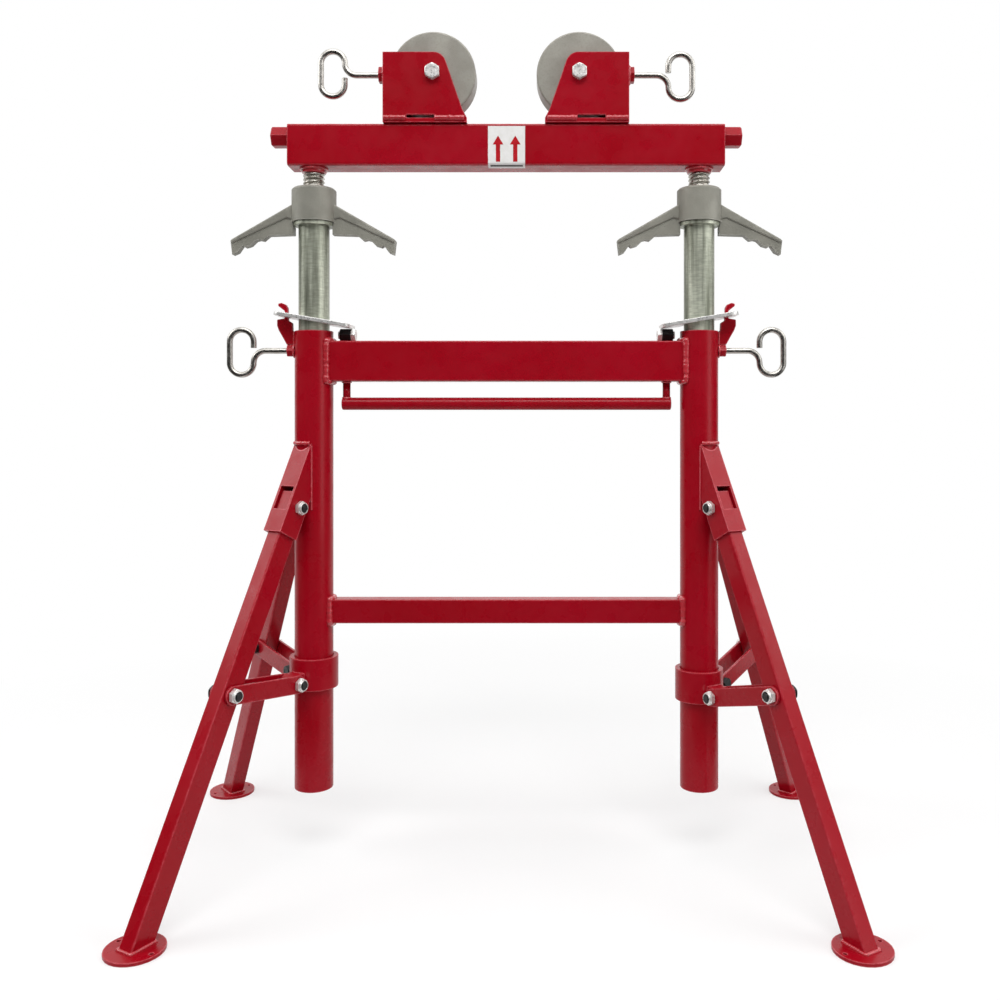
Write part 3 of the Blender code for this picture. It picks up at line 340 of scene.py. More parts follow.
# %% Beam, end caps, roller brackets and the spreading screw
paint(("beam", "beam_cap_left", "beam_cap_right"), "head", 0.0006)
for _, side in SIDES:
    paint(("roller_bracket_" + side,), "carrier_" + side, 0.001)
    dress(("carrier_nut_" + side,), "carrier_" + side, zinc, 0.0008)
    dress(("inner_tube_" + side,), "inner_tubes", galvanised, 0.0006)
    dress(("lock_plate_" + side,), "lock_plate_" + side, zinc, 0.0009)
    dress(("wing_nut_" + side,), "wing_nut_" + side, cast_grey, 0.0022)
paint(("spreading_screw",), "spreading_screw", 0.0008)

# %% [markdown]
# ## Lathe work
#
# Rollers, screw bosses, bolt heads and nuts are all skins round an axis, so one helper lays
# rings of points and joins them. A ring's radius may change with the angle, and that makes a
# hexagon: its six corners reach further out, and where the chamfer cone cuts them off, the
# familiar arcs appear by themselves.

# %% A lathe that can also turn hexagons
def lathe(rings, steps=72, bore=False):
    """Skin from rings of (radius, height) or functions of the angle. A bore joins last to first."""
    bm = bmesh.new()
    rows = []
    for ring in rings:
        row = []
        for i in range(steps):
            angle = 2 * math.pi * i / steps
            radius, height = ring(angle) if callable(ring) else ring
            row.append(bm.verts.new((radius * math.cos(angle), radius * math.sin(angle), height)))
        rows.append(row)
    for low, high in zip(rows, rows[1:] + (rows[:1] if bore else [])):
        for i in range(steps):
            j = (i + 1) % steps
            bm.faces.new((low[i], low[j], high[j], high[i]))
    if not bore:
        bm.faces.new(rows[0][::-1])
        bm.faces.new(rows[-1])
    bmesh.ops.recalc_face_normals(bm, faces=bm.faces)
    return bm


def hex_rings(across, low, high, chamfer=0.95):
    """The two rings of a hexagon's side, its top one dipping at the corners, and the flat's edge."""
    flat = across / 2 * chamfer

    def corner(angle):
        return across / 2 / math.cos((angle + math.pi / 6) % (math.pi / 3) - math.pi / 6)

    def rim(angle):
        return corner(angle), high - (corner(angle) - flat) * math.tan(math.radians(30))

    return [lambda angle: (corner(angle), low), rim, (flat, high)]


def laid(bm, matrix):
    bmesh.ops.transform(bm, matrix=matrix, verts=bm.verts)
    return bm


# %% Rollers with rounded rims
ROLLER_RADIUS = half_size("roller_right").z
HUB_HALF = half_size("roller_right").y
RIM_HALF, RIM_ROUND, BORE, HUB_RADIUS = 0.021, 0.003, 0.0074, 0.012
rim = [(ROLLER_RADIUS - RIM_ROUND * (1 - math.sin(a)), RIM_HALF - RIM_ROUND * (1 - math.cos(a)))
       for a in [math.radians(degrees) for degrees in (0, 22, 45, 67, 90)]]
top = [(BORE, HUB_HALF), (HUB_RADIUS - 0.0006, HUB_HALF), (HUB_RADIUS, HUB_HALF - 0.0006),
       (HUB_RADIUS, RIM_HALF)] + rim
for _, side in SIDES:
    turn = Matrix.Translation(middle("roller_" + side)) @ Matrix.Rotation(math.radians(90), 4, "X")
    skin = laid(lathe(top + [(r, -z) for r, z in reversed(top)], 128, bore=True), turn)
    roller = piece("roller_" + side + "_turned", skin, "roller_" + side, roller_grey[side],
                   nodes=("roller_" + side,))
print("roller", round(ROLLER_RADIUS, 4), "hub", round(HUB_HALF, 4), "faces", len(roller.data.polygons))

# %% [markdown]
# ## Fasteners by Geometry Nodes
#
# The stand has 16 bolts, and 14 of them have a locking nut. One tree sets a part on every point
# of a mesh and turns it along the point's aim. Each body gets its own points, so each gets plain
# meshes of its own, and the parts themselves come from the lathe.

# %% A tree that sets a part on points
def new_tree(name, inputs):
    """A geometry tree with named inputs; returns it with its group input and output nodes."""
    tree = bpy.data.node_groups.new(name, "GeometryNodeTree")
    tree.interface.new_socket("Geometry", in_out="INPUT", socket_type="NodeSocketGeometry")
    for label, kind in inputs:
        tree.interface.new_socket(label, in_out="INPUT", socket_type=kind)
    tree.interface.new_socket("Geometry", in_out="OUTPUT", socket_type="NodeSocketGeometry")
    return tree, tree.nodes.new("NodeGroupInput"), tree.nodes.new("NodeGroupOutput")


def end_tree(tree, end, instances, material):
    """Every tree ends alike: its copies made real, and its material set."""
    real = add(tree, "GeometryNodeRealizeInstances", {"Geometry": instances})
    painted = add(tree, "GeometryNodeSetMaterial", {"Geometry": real.outputs[0], "Material": material})
    tree.links.new(painted.outputs[0], end.inputs[0])


set_on_points, start, end = new_tree("set_on_points", [("Part", "NodeSocketObject"),
                                                       ("Material", "NodeSocketMaterial")])
part_info = add(set_on_points, "GeometryNodeObjectInfo", {"Object": start.outputs["Part"]})
aim = add(set_on_points, "GeometryNodeInputNamedAttribute", {"Name": "aim"}, data_type="FLOAT_VECTOR")
turned = add(set_on_points, "FunctionNodeAlignRotationToVector", {"Vector": aim.outputs["Attribute"]},
             axis="Z")
copies = add(set_on_points, "GeometryNodeInstanceOnPoints",
             {"Points": start.outputs["Geometry"], "Instance": part_info.outputs["Geometry"],
              "Rotation": turned.outputs[0]})
end_tree(set_on_points, end, copies.outputs[0], start.outputs["Material"])
print("tree", set_on_points.name, len(set_on_points.nodes), "nodes")


# %% Run a tree over points or paths
def run_tree(name, tree, data, values):
    """Put a tree on a mesh, set its inputs by identifier, and bake the result."""
    obj = bpy.data.objects.new(name, data)
    modifier = obj.modifiers.new(tree.name, "NODES")
    modifier.node_group = tree
    sockets = {s.name: s.identifier for s in tree.interface.items_tree if s.in_out == "INPUT"}
    for label, value in values.items():
        modifier[sockets[label]] = value
    bpy.context.scene.collection.objects.link(obj)
    return baked(obj)


def set_parts(name, body, material, shape, places, nodes=()):
    """One piece: a copy of a shape at each (place, aim)."""
    data = bpy.data.meshes.new(name + "_points")
    data.from_pydata([place for place, _ in places], [], [])
    data.attributes.new("aim", "FLOAT_VECTOR", "POINT")
    data.attributes["aim"].data.foreach_set("vector", [c for _, aim in places for c in aim])
    obj = run_tree(name, set_on_points, data, {"Part": shape, "Material": material})
    obj.data.name = name
    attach(obj, body)
    if nodes:
        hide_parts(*nodes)


def part(name, bm):
    """A part for the tree to copy; it is taken away again when all the copies are made."""
    data = bpy.data.meshes.new(name)
    bm.to_mesh(data)
    bm.free()
    data.shade_smooth()
    data.set_sharp_from_angle(angle=math.radians(20))
    obj = bpy.data.objects.new(name, data)
    PART_STORE.append(obj)
    return obj


PART_STORE = []

# %% [markdown]
# A bolt head has its shank below Z = 0. A locking nut is a hexagon chamfered on both faces,
# with a round collar that holds a black nylon ring, and the bolt's end stands just out of it.

# %% Bolt heads, locking nuts and their black centres
def bolt_part(name, across, head, radius, shank):
    rings = [(radius, -shank), (radius, 0), (across / 2 * 0.94, 0)]
    rings += hex_rings(across, 0.0006, head) + [(across * 0.30, head), (across * 0.27, head - 0.0004)]
    return part(name, lathe(rings))


def nut_part(name, across, radius):
    body = 0.0075
    lip = across / 2
    rings = [(radius, 0), (lip * 0.94, 0)] + hex_rings(across, 0.0008, body)
    rings += [(lip * 0.90, body), (lip * 0.90, body + 0.0018), (lip * 0.86, body + 0.0027),
              (lip * 0.78, body + 0.003), (lip * 0.74, body + 0.0026), (lip * 0.73, body)]
    return part(name, lathe(rings, bore=True))


def centre_part(name, across, radius):
    wide = across / 2 * 0.735
    rings = [(wide, 0.0078), (wide, 0.0098), (wide * 0.95, 0.0103), (radius * 0.98, 0.0103),
             (radius * 0.96, 0.0112), (radius * 0.84, 0.012)]
    return part(name, lathe(rings))


HEX_12, SHANK_12 = 0.019, 0.006
HEX_14, SHANK_14 = 0.022, 0.007
bolt_12 = bolt_part("bolt_12", HEX_12, 0.0075, SHANK_12, 0.020)
short_bolt_12 = bolt_part("short_bolt_12", HEX_12, 0.0075, SHANK_12, 0.004)
bolt_14 = bolt_part("bolt_14", HEX_14, 0.009, SHANK_14, 0.062)
nut_12 = nut_part("nut_12", HEX_12, SHANK_12)
nut_14 = nut_part("nut_14", HEX_14, SHANK_14)
centre_12 = centre_part("centre_12", HEX_12, SHANK_12)
centre_14 = centre_part("centre_14", HEX_14, SHANK_14)
sleeve = part("sleeve", lathe([(SHANK_12, 0), (0.0089, 0)] + hex_rings(HEX_12, 0.0006, 0.0172)
                              + [(0.0068, 0.0172), (0.0062, 0.0166), (SHANK_12, 0.0178)]))
print("parts", [(p.name, len(p.data.polygons)) for p in PART_STORE])

# %% [markdown]
# A leg stands in a vertical plane that goes out from its post at some angle, so the places on
# a leg are a reach from the post's axis and a height. The nuts are on the side that looks
# towards the middle of the stand, and the black heads on the other. The left collar rests 20 mm
# higher than the right one, so the strut bolts at the collars do too.

# %% Places on the legs
PIVOT_REACH, PIVOT_HEIGHT, SPLAY = 0.051, 0.554, math.radians(27.1)
CHEEK_FACE, STRUT_FACE = 0.0176, 0.0173
STRUT_DOWN = 0.2886
LUG_HEIGHT = {-1: 0.282, 1: 0.262}  # by side
PLAN_ANGLE = {-1: math.radians(60), 1: math.radians(51)}  # by row


def leg_turn(side, row):
    return math.atan2(row * math.sin(PLAN_ANGLE[row]), side * math.cos(PLAN_ANGLE[row]))


def leg_frame(side, row):
    """X out from the post, Y across the leg, Z up, with its origin on the floor under the post."""
    return Matrix.Translation((side * POST_X, POST_Y, 0)) @ Matrix.Rotation(leg_turn(side, row), 4, "Z")


def across_leg(side, row, reach, height, face):
    """Two (place, aim) pairs on a leg's bolt: under its nut and under its head."""
    at = leg_frame(side, row)
    nuts_at = 1 if math.sin(leg_turn(side, row)) * side > 0 else -1
    return [(at @ Vector((reach, s * face, height)), at.to_3x3() @ Vector((0, s, 0)))
            for s in (nuts_at, -nuts_at)]


def strut_ends(side):
    """Reach and height of a strut's bolts at the collar and at the leg."""
    return ((PIVOT_REACH, LUG_HEIGHT[side]),
            (PIVOT_REACH + STRUT_DOWN * math.sin(SPLAY), PIVOT_HEIGHT - STRUT_DOWN * math.cos(SPLAY)))


print("leg directions in plan", [round(math.degrees(leg_turn(side, row))) for side, row, _ in LEGS])

# %% Fasteners of the frame
pivots = [across_leg(side, row, PIVOT_REACH, PIVOT_HEIGHT, CHEEK_FACE) for side, row, _ in LEGS]
pivot_nodes = ["leg_pivot_bolt_" + label for _, _, label in LEGS]
set_parts("pivot_nuts", "frame", zinc, nut_12, [p[0] for p in pivots])
set_parts("pivot_heads", "frame", black_steel, bolt_12, [p[1] for p in pivots], pivot_nodes)
set_parts("pivot_centres", "frame", black_steel, centre_12, [p[0] for p in pivots])
STOP_X, STOP_Z = 0.2468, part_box("upper_crossbar")[1].z + HEX_12 / 2 + 0.0003
stops = [((side * STOP_X, POST_Y, STOP_Z), (-side, 0, 0)) for side, _ in SIDES]
sleeves = [((side * (STOP_X + 0.0002), POST_Y, STOP_Z), (side, 0, 0)) for side, _ in SIDES]
set_parts("stop_heads", "frame", zinc, bolt_12, stops, ["stop_bolt_left", "stop_bolt_right"])
set_parts("stop_sleeves", "frame", black_steel, sleeve, sleeves)
print("pivot bolts", len(pivots), "stop bolts", len(stops))

# %% Fasteners of the struts and the axles
for side, row, label in LEGS:
    bolts = [across_leg(side, row, *place, STRUT_FACE) for place in strut_ends(side)]
    nuts, heads = zip(*bolts)
    set_parts("strut_nuts_" + label, "strut_" + label, zinc, nut_12, nuts)
    set_parts("strut_heads_" + label, "strut_" + label, black_steel, short_bolt_12, heads)
    set_parts("strut_centres_" + label, "strut_" + label, black_steel, centre_12, nuts)
CHEEK_Y = 0.0303
for side, name in SIDES:
    head, nut = [((side * AXLE.x, POST_Y + s * CHEEK_Y, AXLE.z), (0, s, 0)) for s in (-1, 1)]
    set_parts("axle_head_" + name, "carrier_" + name, zinc, bolt_14, [head], ["axle_bolt_" + name])
    set_parts("axle_nut_" + name, "carrier_" + name, zinc, nut_14, [nut])
    set_parts("axle_centre_" + name, "carrier_" + name, black_steel, centre_14, [nut])
for stored in PART_STORE:
    bpy.data.objects.remove(stored, do_unlink=True)
print("strut bolts", len(LEGS) * len(bolts), "axle bolts", len(SIDES))

# %% [markdown]
# ## Struts
#
# Each strut is a pair of flat bars with round ends, one on each side of the leg. The outline
# is drawn once in the plane of the leg and given the bar's thickness.

# %% Strut bars
def plate(outline, thickness):
    """A plate in XZ from its outline, with its thickness along Y."""
    bm = bmesh.new()
    front = [bm.verts.new((x, -thickness / 2, z)) for x, z in outline]
    back = [bm.verts.new((x, thickness / 2, z)) for x, z in outline]
    bm.faces.new(front)
    bm.faces.new(back[::-1])
    for i in range(len(front)):
        j = (i + 1) % len(front)
        bm.faces.new((front[j], front[i], back[i], back[j]))
    bmesh.ops.recalc_face_normals(bm, faces=bm.faces)
    return bm


def arc(x, z, radius, begin, stop, steps):
    angles = [math.radians(begin + (stop - begin) * i / steps) for i in range(steps + 1)]
    return [(x + radius * math.cos(a), z + radius * math.sin(a)) for a in angles]


BAR_THICK, BAR_ROUND = 0.004, 0.0135
for side, row, label in LEGS:
    inner, outer = strut_ends(side)
    run = Vector(outer) - Vector(inner)
    outline = arc(0, 0, BAR_ROUND, 90, 270, 16) + arc(run.length, 0, BAR_ROUND, -90, 90, 16)
    tilt = Matrix.Translation((inner[0], 0, inner[1])) @ Matrix.Rotation(-math.atan2(run.y, run.x), 4, "Y")
    both = bmesh.new()
    for y in (BAR_THICK / 2 - STRUT_FACE, STRUT_FACE - BAR_THICK / 2):
        at = leg_frame(side, row) @ tilt @ Matrix.Translation((0, y, 0))
        join(both, laid(plate(outline, BAR_THICK), at))
    node = "strut_" + label
    piece("strut_bars_" + label, both, node, red_paint, 0.0007, (node,))
print("strut length", round(run.length, 4))

# %% [markdown]
# ## Bent rod
#
# The clamp and brake screws are one bright rod, bent into a loop. A smooth centre line with a
# round section makes it: along the rod, down a bend, round the far end of the loop and back to
# a cut end near the bend. A curve is used for its even section round the bends.

# %% Loop screws
LOOP_RADIUS, LOOP_SIDE, LOOP_END, ROD_RADIUS = 0.019, 0.0334, 0.0099, 0.00475


def loop_line(rod, reach):
    r, top = LOOP_RADIUS, LOOP_SIDE - LOOP_RADIUS
    line = [(-reach, 0), (rod * 0.5, 0), (rod, 0)]
    line += arc(rod, -r, r, 90, 0, 14)[1:]
    line += arc(rod + 2 * r, -r, r, 180, 360, 28)[1:]
    line += arc(rod + 2 * r, top, r, 0, 180, 28)
    line += [(rod + r, top - LOOP_END)]
    return line


def rod_mesh(line, side, flip, at):
    """A round section along a line in XZ, as a bmesh in its place."""
    curve = bpy.data.curves.new("rod", "CURVE")
    curve.dimensions = "3D"
    curve.bevel_depth = ROD_RADIUS
    curve.bevel_resolution = 6
    curve.use_fill_caps = True
    spline = curve.splines.new("POLY")
    spline.points.add(len(line) - 1)
    for point, (x, z) in zip(spline.points, line):
        point.co = (side * x, 0, flip * z, 1)
    guide = bpy.data.objects.new("rod", curve)
    bpy.context.scene.collection.objects.link(guide)
    bpy.context.view_layer.update()
    graph = bpy.context.evaluated_depsgraph_get()
    bm = bmesh.new()
    bm.from_mesh(bpy.data.meshes.new_from_object(guide.evaluated_get(graph)))
    bpy.data.objects.remove(guide, do_unlink=True)
    bmesh.ops.remove_doubles(bm, verts=bm.verts, dist=0.00001)
    bmesh.ops.recalc_face_normals(bm, faces=bm.faces)
    return laid(bm, Matrix.Translation(at))


CLAMP_FACE, CLAMP_Z = 0.348, middle("clamp_nut_right").z
BRAKE_FACE, BRAKE_Z = AXLE.x + 0.0878, AXLE.z + 0.0048
for side, name in SIDES:
    clamp = rod_mesh(loop_line(0.035, 0.0175), side, 1, (side * CLAMP_FACE, POST_Y, CLAMP_Z))
    brake = rod_mesh(loop_line(0.0354, 0.0196), side, side, (side * BRAKE_FACE, POST_Y, BRAKE_Z))
    for kind, rod in (("clamp", clamp), ("brake", brake)):
        node = kind + "_screw_" + name
        piece(kind + "_rod_" + name, rod, node, bright_rod, 0.0008, (node,))
print("rods at", round(CLAMP_Z, 4), round(BRAKE_Z, 4))

# %% [markdown]
# ## Wing nuts' ribs
#
# A cast wing is stiffest along its upper edge, where it is thickest, and thins towards the
# scalloped grip. A bevelled rib along that edge gives the ridge that the photograph shows.

# %% Ribs
WING_REACH = half_size("wing_nut_right").x
RIB_DEPTH = 0.021
rib = [(0.032, 1.0312), (0.040, 1.0262), (WING_REACH - 0.0006, 0.9744), (WING_REACH - 0.0012, 0.9682),
       (0.042, 1.0085), (0.032, 1.0060)]
for side, name in SIDES:
    both = bmesh.new()
    for way in (-1, 1):
        bar = plate([(way * x, z) for x, z in rib], RIB_DEPTH)
        join(both, laid(bar, Matrix.Translation((side * POST_X, POST_Y, 0))))
    piece("wing_ribs_" + name, both, "wing_nut_" + name, cast_grey, 0.0024, segments=3)
print("wing reach", round(WING_REACH, 4))

# %% [markdown]
# ## Jack screws
#
# A screw thread follows a rule: the surface's radius depends only on the height and the angle
# together. So a tree takes a plain cylinder with many rings and moves each point in or out by
# a wave that climbs one pitch in each turn. The ends of a Map Range flatten crest and root.

# %% A thread by Geometry Nodes
thread, start, end = new_tree("thread", [("Radius", "NodeSocketFloat"), ("Root", "NodeSocketFloat"),
                                         ("Pitch", "NodeSocketFloat"), ("Length", "NodeSocketFloat"),
                                         ("Material", "NodeSocketMaterial")])
rod = add(thread, "GeometryNodeMeshCylinder",
          {"Vertices": 36, "Side Segments": 340, "Radius": start.outputs["Radius"],
           "Depth": start.outputs["Length"]})
position = add(thread, "GeometryNodeInputPosition")
x, y, z = add(thread, "ShaderNodeSeparateXYZ", {0: position.outputs[0]}).outputs
turns = maths(thread, "DIVIDE", maths(thread, "ARCTAN2", y, x), 2 * math.pi)
climb = maths(thread, "DIVIDE", z, start.outputs["Pitch"])
wave = maths(thread, "PINGPONG", maths(thread, "SUBTRACT", climb, turns), 0.5)
radius = spread(thread, wave, start.outputs["Root"], start.outputs["Radius"], 0.12, 0.36)
flat = add(thread, "ShaderNodeCombineXYZ", {"X": x, "Y": y})
outward = add(thread, "ShaderNodeVectorMath", {0: flat.outputs[0]}, operation="NORMALIZE")
reach = add(thread, "ShaderNodeVectorMath", {0: outward.outputs[0], "Scale": radius}, operation="SCALE")
height = add(thread, "ShaderNodeCombineXYZ", {"Z": z})
placed = add(thread, "ShaderNodeVectorMath", {0: reach.outputs[0], 1: height.outputs[0]},
             operation="ADD")
cut = add(thread, "GeometryNodeSetPosition",
          {"Geometry": rod.outputs["Mesh"], "Position": placed.outputs[0]})
copies = add(thread, "GeometryNodeInstanceOnPoints", {"Points": start.outputs["Geometry"],
                                                      "Instance": cut.outputs[0]})
end_tree(thread, end, copies.outputs[0], start.outputs["Material"])

SCREW_TOP, SCREW_LENGTH = BEAM_LOW.z - 0.0003, 0.2877
points = bpy.data.meshes.new("screw_points")
points.from_pydata([(s * POST_X, POST_Y, SCREW_TOP - SCREW_LENGTH / 2) for s, _ in SIDES], [], [])
screws = run_tree("jack_screw_threads", thread, points, {"Radius": 0.017, "Root": 0.0148, "Pitch": 0.006,
                                                         "Length": SCREW_LENGTH, "Material": screw_steel})
screws.data.shade_smooth()
screws.data.set_sharp_from_angle(angle=math.radians(60))
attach(screws, "head")
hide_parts("jack_screw_left", "jack_screw_right")
print("threads", len(screws.data.polygons), "faces")

# %% Painted bosses where the screws are welded to the beam
for side, name in SIDES:
    boss = lathe([(0.0172, 0), (0.0188, 0.0006), (0.0198, 0.0030), (0.0200, 0.0058), (0.0200, 0.0074)], 48)
    at = Matrix.Translation((side * POST_X, POST_Y, SCREW_TOP - 0.0076))
    piece("screw_boss_" + name, laid(boss, at), "head", highlit_weld_paint, 0.0004)
print("bosses at", round(SCREW_TOP, 4))

# %% [markdown]
# ## Carrying handle
#
# The handle is a round bar under the upper crossbar. A thinner leg holds it near each end, and
# the legs are welded to both.

# %% Handle
HANDLE_Z, HANDLE_HALF, HANDLE_LEG_X = 0.715, 0.261, 0.254
HANDLE_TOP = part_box("upper_crossbar")[0].z - 0.0002
tip = [(0.0100, HANDLE_HALF - 0.0020), (0.0095, HANDLE_HALF - 0.0006), (0.0082, HANDLE_HALF)]
bar = lathe([(r, -x) for r, x in reversed(tip)] + tip, 40)
laid(bar, Matrix.Translation((0, POST_Y, HANDLE_Z)) @ Matrix.Rotation(math.radians(90), 4, "Y"))
for side, _ in SIDES:
    leg = lathe([(0.006, HANDLE_Z), (0.006, HANDLE_TOP)], 32)
    join(bar, laid(leg, Matrix.Translation((side * HANDLE_LEG_X, POST_Y, 0))))
piece("carry_handle_bar", bar, "frame", red_paint, nodes=("carry_handle",))
print("handle from", -HANDLE_HALF, "to", HANDLE_HALF)

# %% [markdown]
# ## Welds
#
# Every joint of the frame has a painted bead. A bead follows the line where two pieces meet,
# with a ripple for each drop of the weld pool, so a tree sweeps a round section along a path
# and lets its radius swell and shrink with the length along it.

# %% A weld bead by Geometry Nodes
weld, start, end = new_tree("weld_bead", [("Radius", "NodeSocketFloat"), ("Ripple", "NodeSocketFloat"),
                                          ("Seed", "NodeSocketFloat"), ("Material", "NodeSocketMaterial")])
path = add(weld, "GeometryNodeMeshToCurve", {"Mesh": start.outputs["Geometry"]})
fine = add(weld, "GeometryNodeResampleCurve", {"Curve": path.outputs[0], "Length": 0.0008}, mode="LENGTH")
along = add(weld, "GeometryNodeSplineParameter").outputs["Length"]
swell = maths(weld, "PINGPONG", maths(weld, "DIVIDE", along, start.outputs["Ripple"]), 0.5)
here = add(weld, "GeometryNodeInputPosition")
uneven = add(weld, "ShaderNodeTexNoise",
             {"Vector": here.outputs[0], "W": start.outputs["Seed"], "Scale": 130.0},
             noise_dimensions="4D")
both = maths(weld, "MULTIPLY_ADD", swell, 0.35, uneven.outputs[0])
size = maths(weld, "MULTIPLY", spread(weld, both, 0.80, 1.14, 0.35, 0.80), start.outputs["Radius"])
section = add(weld, "GeometryNodeCurvePrimitiveCircle", {"Resolution": 10, "Radius": 1.0})
bead = add(weld, "GeometryNodeCurveToMesh", {"Curve": fine.outputs[0], "Profile Curve": section.outputs[0],
                                             "Fill Caps": True, "Scale": size})
end_tree(weld, end, bead.outputs[0], start.outputs["Material"])


def weld_paths(name, body, paths, radius=0.0024, ripple=0.0036):
    """One piece of painted beads; a path is a list of places, closed when it ends where it began."""
    data = bpy.data.meshes.new(name + "_paths")
    places, lines = [], []
    for line in paths:
        closed = (Vector(line[0]) - Vector(line[-1])).length < 0.0001
        line = line[:-1] if closed else line
        first = len(places)
        places += [tuple(p) for p in line]
        lines += [(first + i, first + i + 1) for i in range(len(line) - 1)]
        lines += [(first + len(line) - 1, first)] if closed else []
    data.from_pydata(places, lines, [])
    values = {"Radius": radius, "Ripple": ripple, "Seed": 3.0, "Material": highlit_weld_paint}
    obj = run_tree(name, weld, data, values)
    obj.data.name = name
    obj.data.shade_smooth()
    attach(obj, body)
    print(name, len(obj.data.polygons), "faces")


# %% Crossbars to the posts
def bar_end(node, side):
    """The outline of a rectangular tube where it runs into a round post."""
    low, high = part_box(node)
    half = (high.y - low.y) / 2 + 0.0004
    corners = [(-half, low.z), (half, low.z), (half, high.z), (-half, high.z), (-half, low.z)]
    line = []
    for (y, z), (next_y, next_z) in zip(corners, corners[1:]):
        for i in range(12):
            across, up = y + (next_y - y) * i / 12, z + (next_z - z) * i / 12
            reach = POST_X - math.sqrt(POST_RADIUS ** 2 - across ** 2) - 0.0006
            line.append((side * reach, POST_Y + across, up))
    return line + line[:1]


bar_ends = [bar_end(bar, side) for bar in ("upper_crossbar", "lower_crossbar") for side, _ in SIDES]
weld_paths("crossbar_welds", "frame", bar_ends, radius=0.0052, ripple=0.0085)


# %% Leg brackets, hooks, clamp nuts and handle to the frame
def on_post(side, angle, height):
    """A place just off a post's skin."""
    reach = POST_RADIUS + 0.0008
    return (side * POST_X + reach * math.cos(angle), POST_Y + reach * math.sin(angle), height)


def ring(x, y, z, radius, steps, upright=False):
    """A closed circle of places, level or facing the stand's side."""
    angles = [2 * math.pi * i / steps for i in range(steps + 1)]
    if upright:
        return [(x, y + radius * math.cos(a), z + radius * math.sin(a)) for a in angles]
    return [(x + radius * math.cos(a), y + radius * math.sin(a), z) for a in angles]


bracket_lines, seam_lines = [], []
for side, row, label in LEGS:
    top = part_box("leg_bracket_" + label)[1].z
    turn, half = leg_turn(side, row), math.asin(CHEEK_FACE / POST_RADIUS)
    bracket_lines.append([on_post(side, turn + half * 0.85 * (i / 6 - 1), top) for i in range(13)])
    for edge in (-half, half):
        seam_lines.append([on_post(side, turn + edge, top - 0.004 - 0.1 * i / 8) for i in range(9)])
weld_paths("bracket_welds", "frame", bracket_lines, radius=0.0034, ripple=0.0070)
weld_paths("bracket_seams", "frame", seam_lines, radius=0.0012)

HOOK_LOW, HOOK_HIGH = 0.8095, 0.8285
small_lines = []
for side, _ in SIDES:
    x = side * (POST_X + POST_RADIUS + 0.0006)
    for y in (POST_Y - 0.0045, POST_Y + 0.0045):
        small_lines.append([(x, y, HOOK_LOW), (x, y, HOOK_HIGH)])
    small_lines.append(ring(x, POST_Y, CLAMP_Z, radius=0.0102, steps=24, upright=True))
    small_lines.append(ring(side * HANDLE_LEG_X, POST_Y, HANDLE_TOP - 0.0006, radius=0.0066, steps=18))
    small_lines.append(ring(side * HANDLE_LEG_X, POST_Y, HANDLE_Z + 0.0092, radius=0.0062, steps=18))
weld_paths("small_welds", "frame", small_lines, radius=0.0016, ripple=0.003)

# %% Beads on the head, the carriers and the legs
bosses = [ring(side * POST_X, POST_Y, BEAM_LOW.z - 0.0012, radius=0.0205, steps=30) for side, _ in SIDES]
weld_paths("boss_welds", "head", bosses, radius=0.0022)
for side, name in SIDES:
    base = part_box("roller_bracket_" + name)[0].z + 0.0067
    lines = [[(side * (AXLE.x + x), POST_Y + y, base) for x in ends]
             for y in (-0.0302, 0.0302) for ends in ((-0.050, -0.004), (0.042, 0.076))]
    face = side * (AXLE.x + 0.0783)
    lines.append(ring(face, POST_Y, BRAKE_Z, radius=0.0128, steps=24, upright=True))
    weld_paths("carrier_welds_" + name, "carrier_" + name, lines, radius=0.0040, ripple=0.0090)
FOOT_WELD_Z = 0.0056
for side, row, label in LEGS:
    at = leg_frame(side, row)
    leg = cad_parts["leg_" + label].data
    ends = [at.inverted() @ v.co for v in leg.vertices if v.co.z < 0.0075]
    back, out = min(p.x for p in ends), max(p.x for p in ends)
    half = max(p.y for p in ends)
    corners = [(back, -half), (out, -half), (out, half), (back, half), (back, -half)]
    line = [at @ Vector((x, y, FOOT_WELD_Z)) for x, y in corners]
    weld_paths("foot_weld_" + label, "leg_" + label, [line], radius=0.0026)

# %% [markdown]
# ## Sticker
#
# A white sticker sits in the middle of the beam's front and wraps round its lower corner. Only
# its plain handling arrows and a bar are made, as thin printed shapes just proud of the film.

# %% Sticker and its arrows
def printed(name, colour, other, rough):
    made, tree, shader = finish(name, roughness=rough, specular=0.15)
    cloudy = blend(tree, spread(tree, noise(tree, 120, 3), 0, 1), colour, other)
    tree.links.new(cloudy, shader.inputs["Base Color"])
    tree.links.new(spread(tree, noise(tree, 300), rough - 0.06, rough + 0.08), shader.inputs["Roughness"])
    relief(tree, shader, noise(tree, 260, 2), 0.00004)
    return made


film = printed("sticker_film", (0.80, 0.79, 0.77), (0.86, 0.85, 0.84), 0.42)
red_print = printed("red_print", (0.42, 0.003, 0.009), (0.50, 0.008, 0.017), 0.45)
black_print = printed("black_print", (0.004, 0.004, 0.0045), (0.008, 0.0078, 0.008), 0.45)
BEAM_CORNER = 0.005


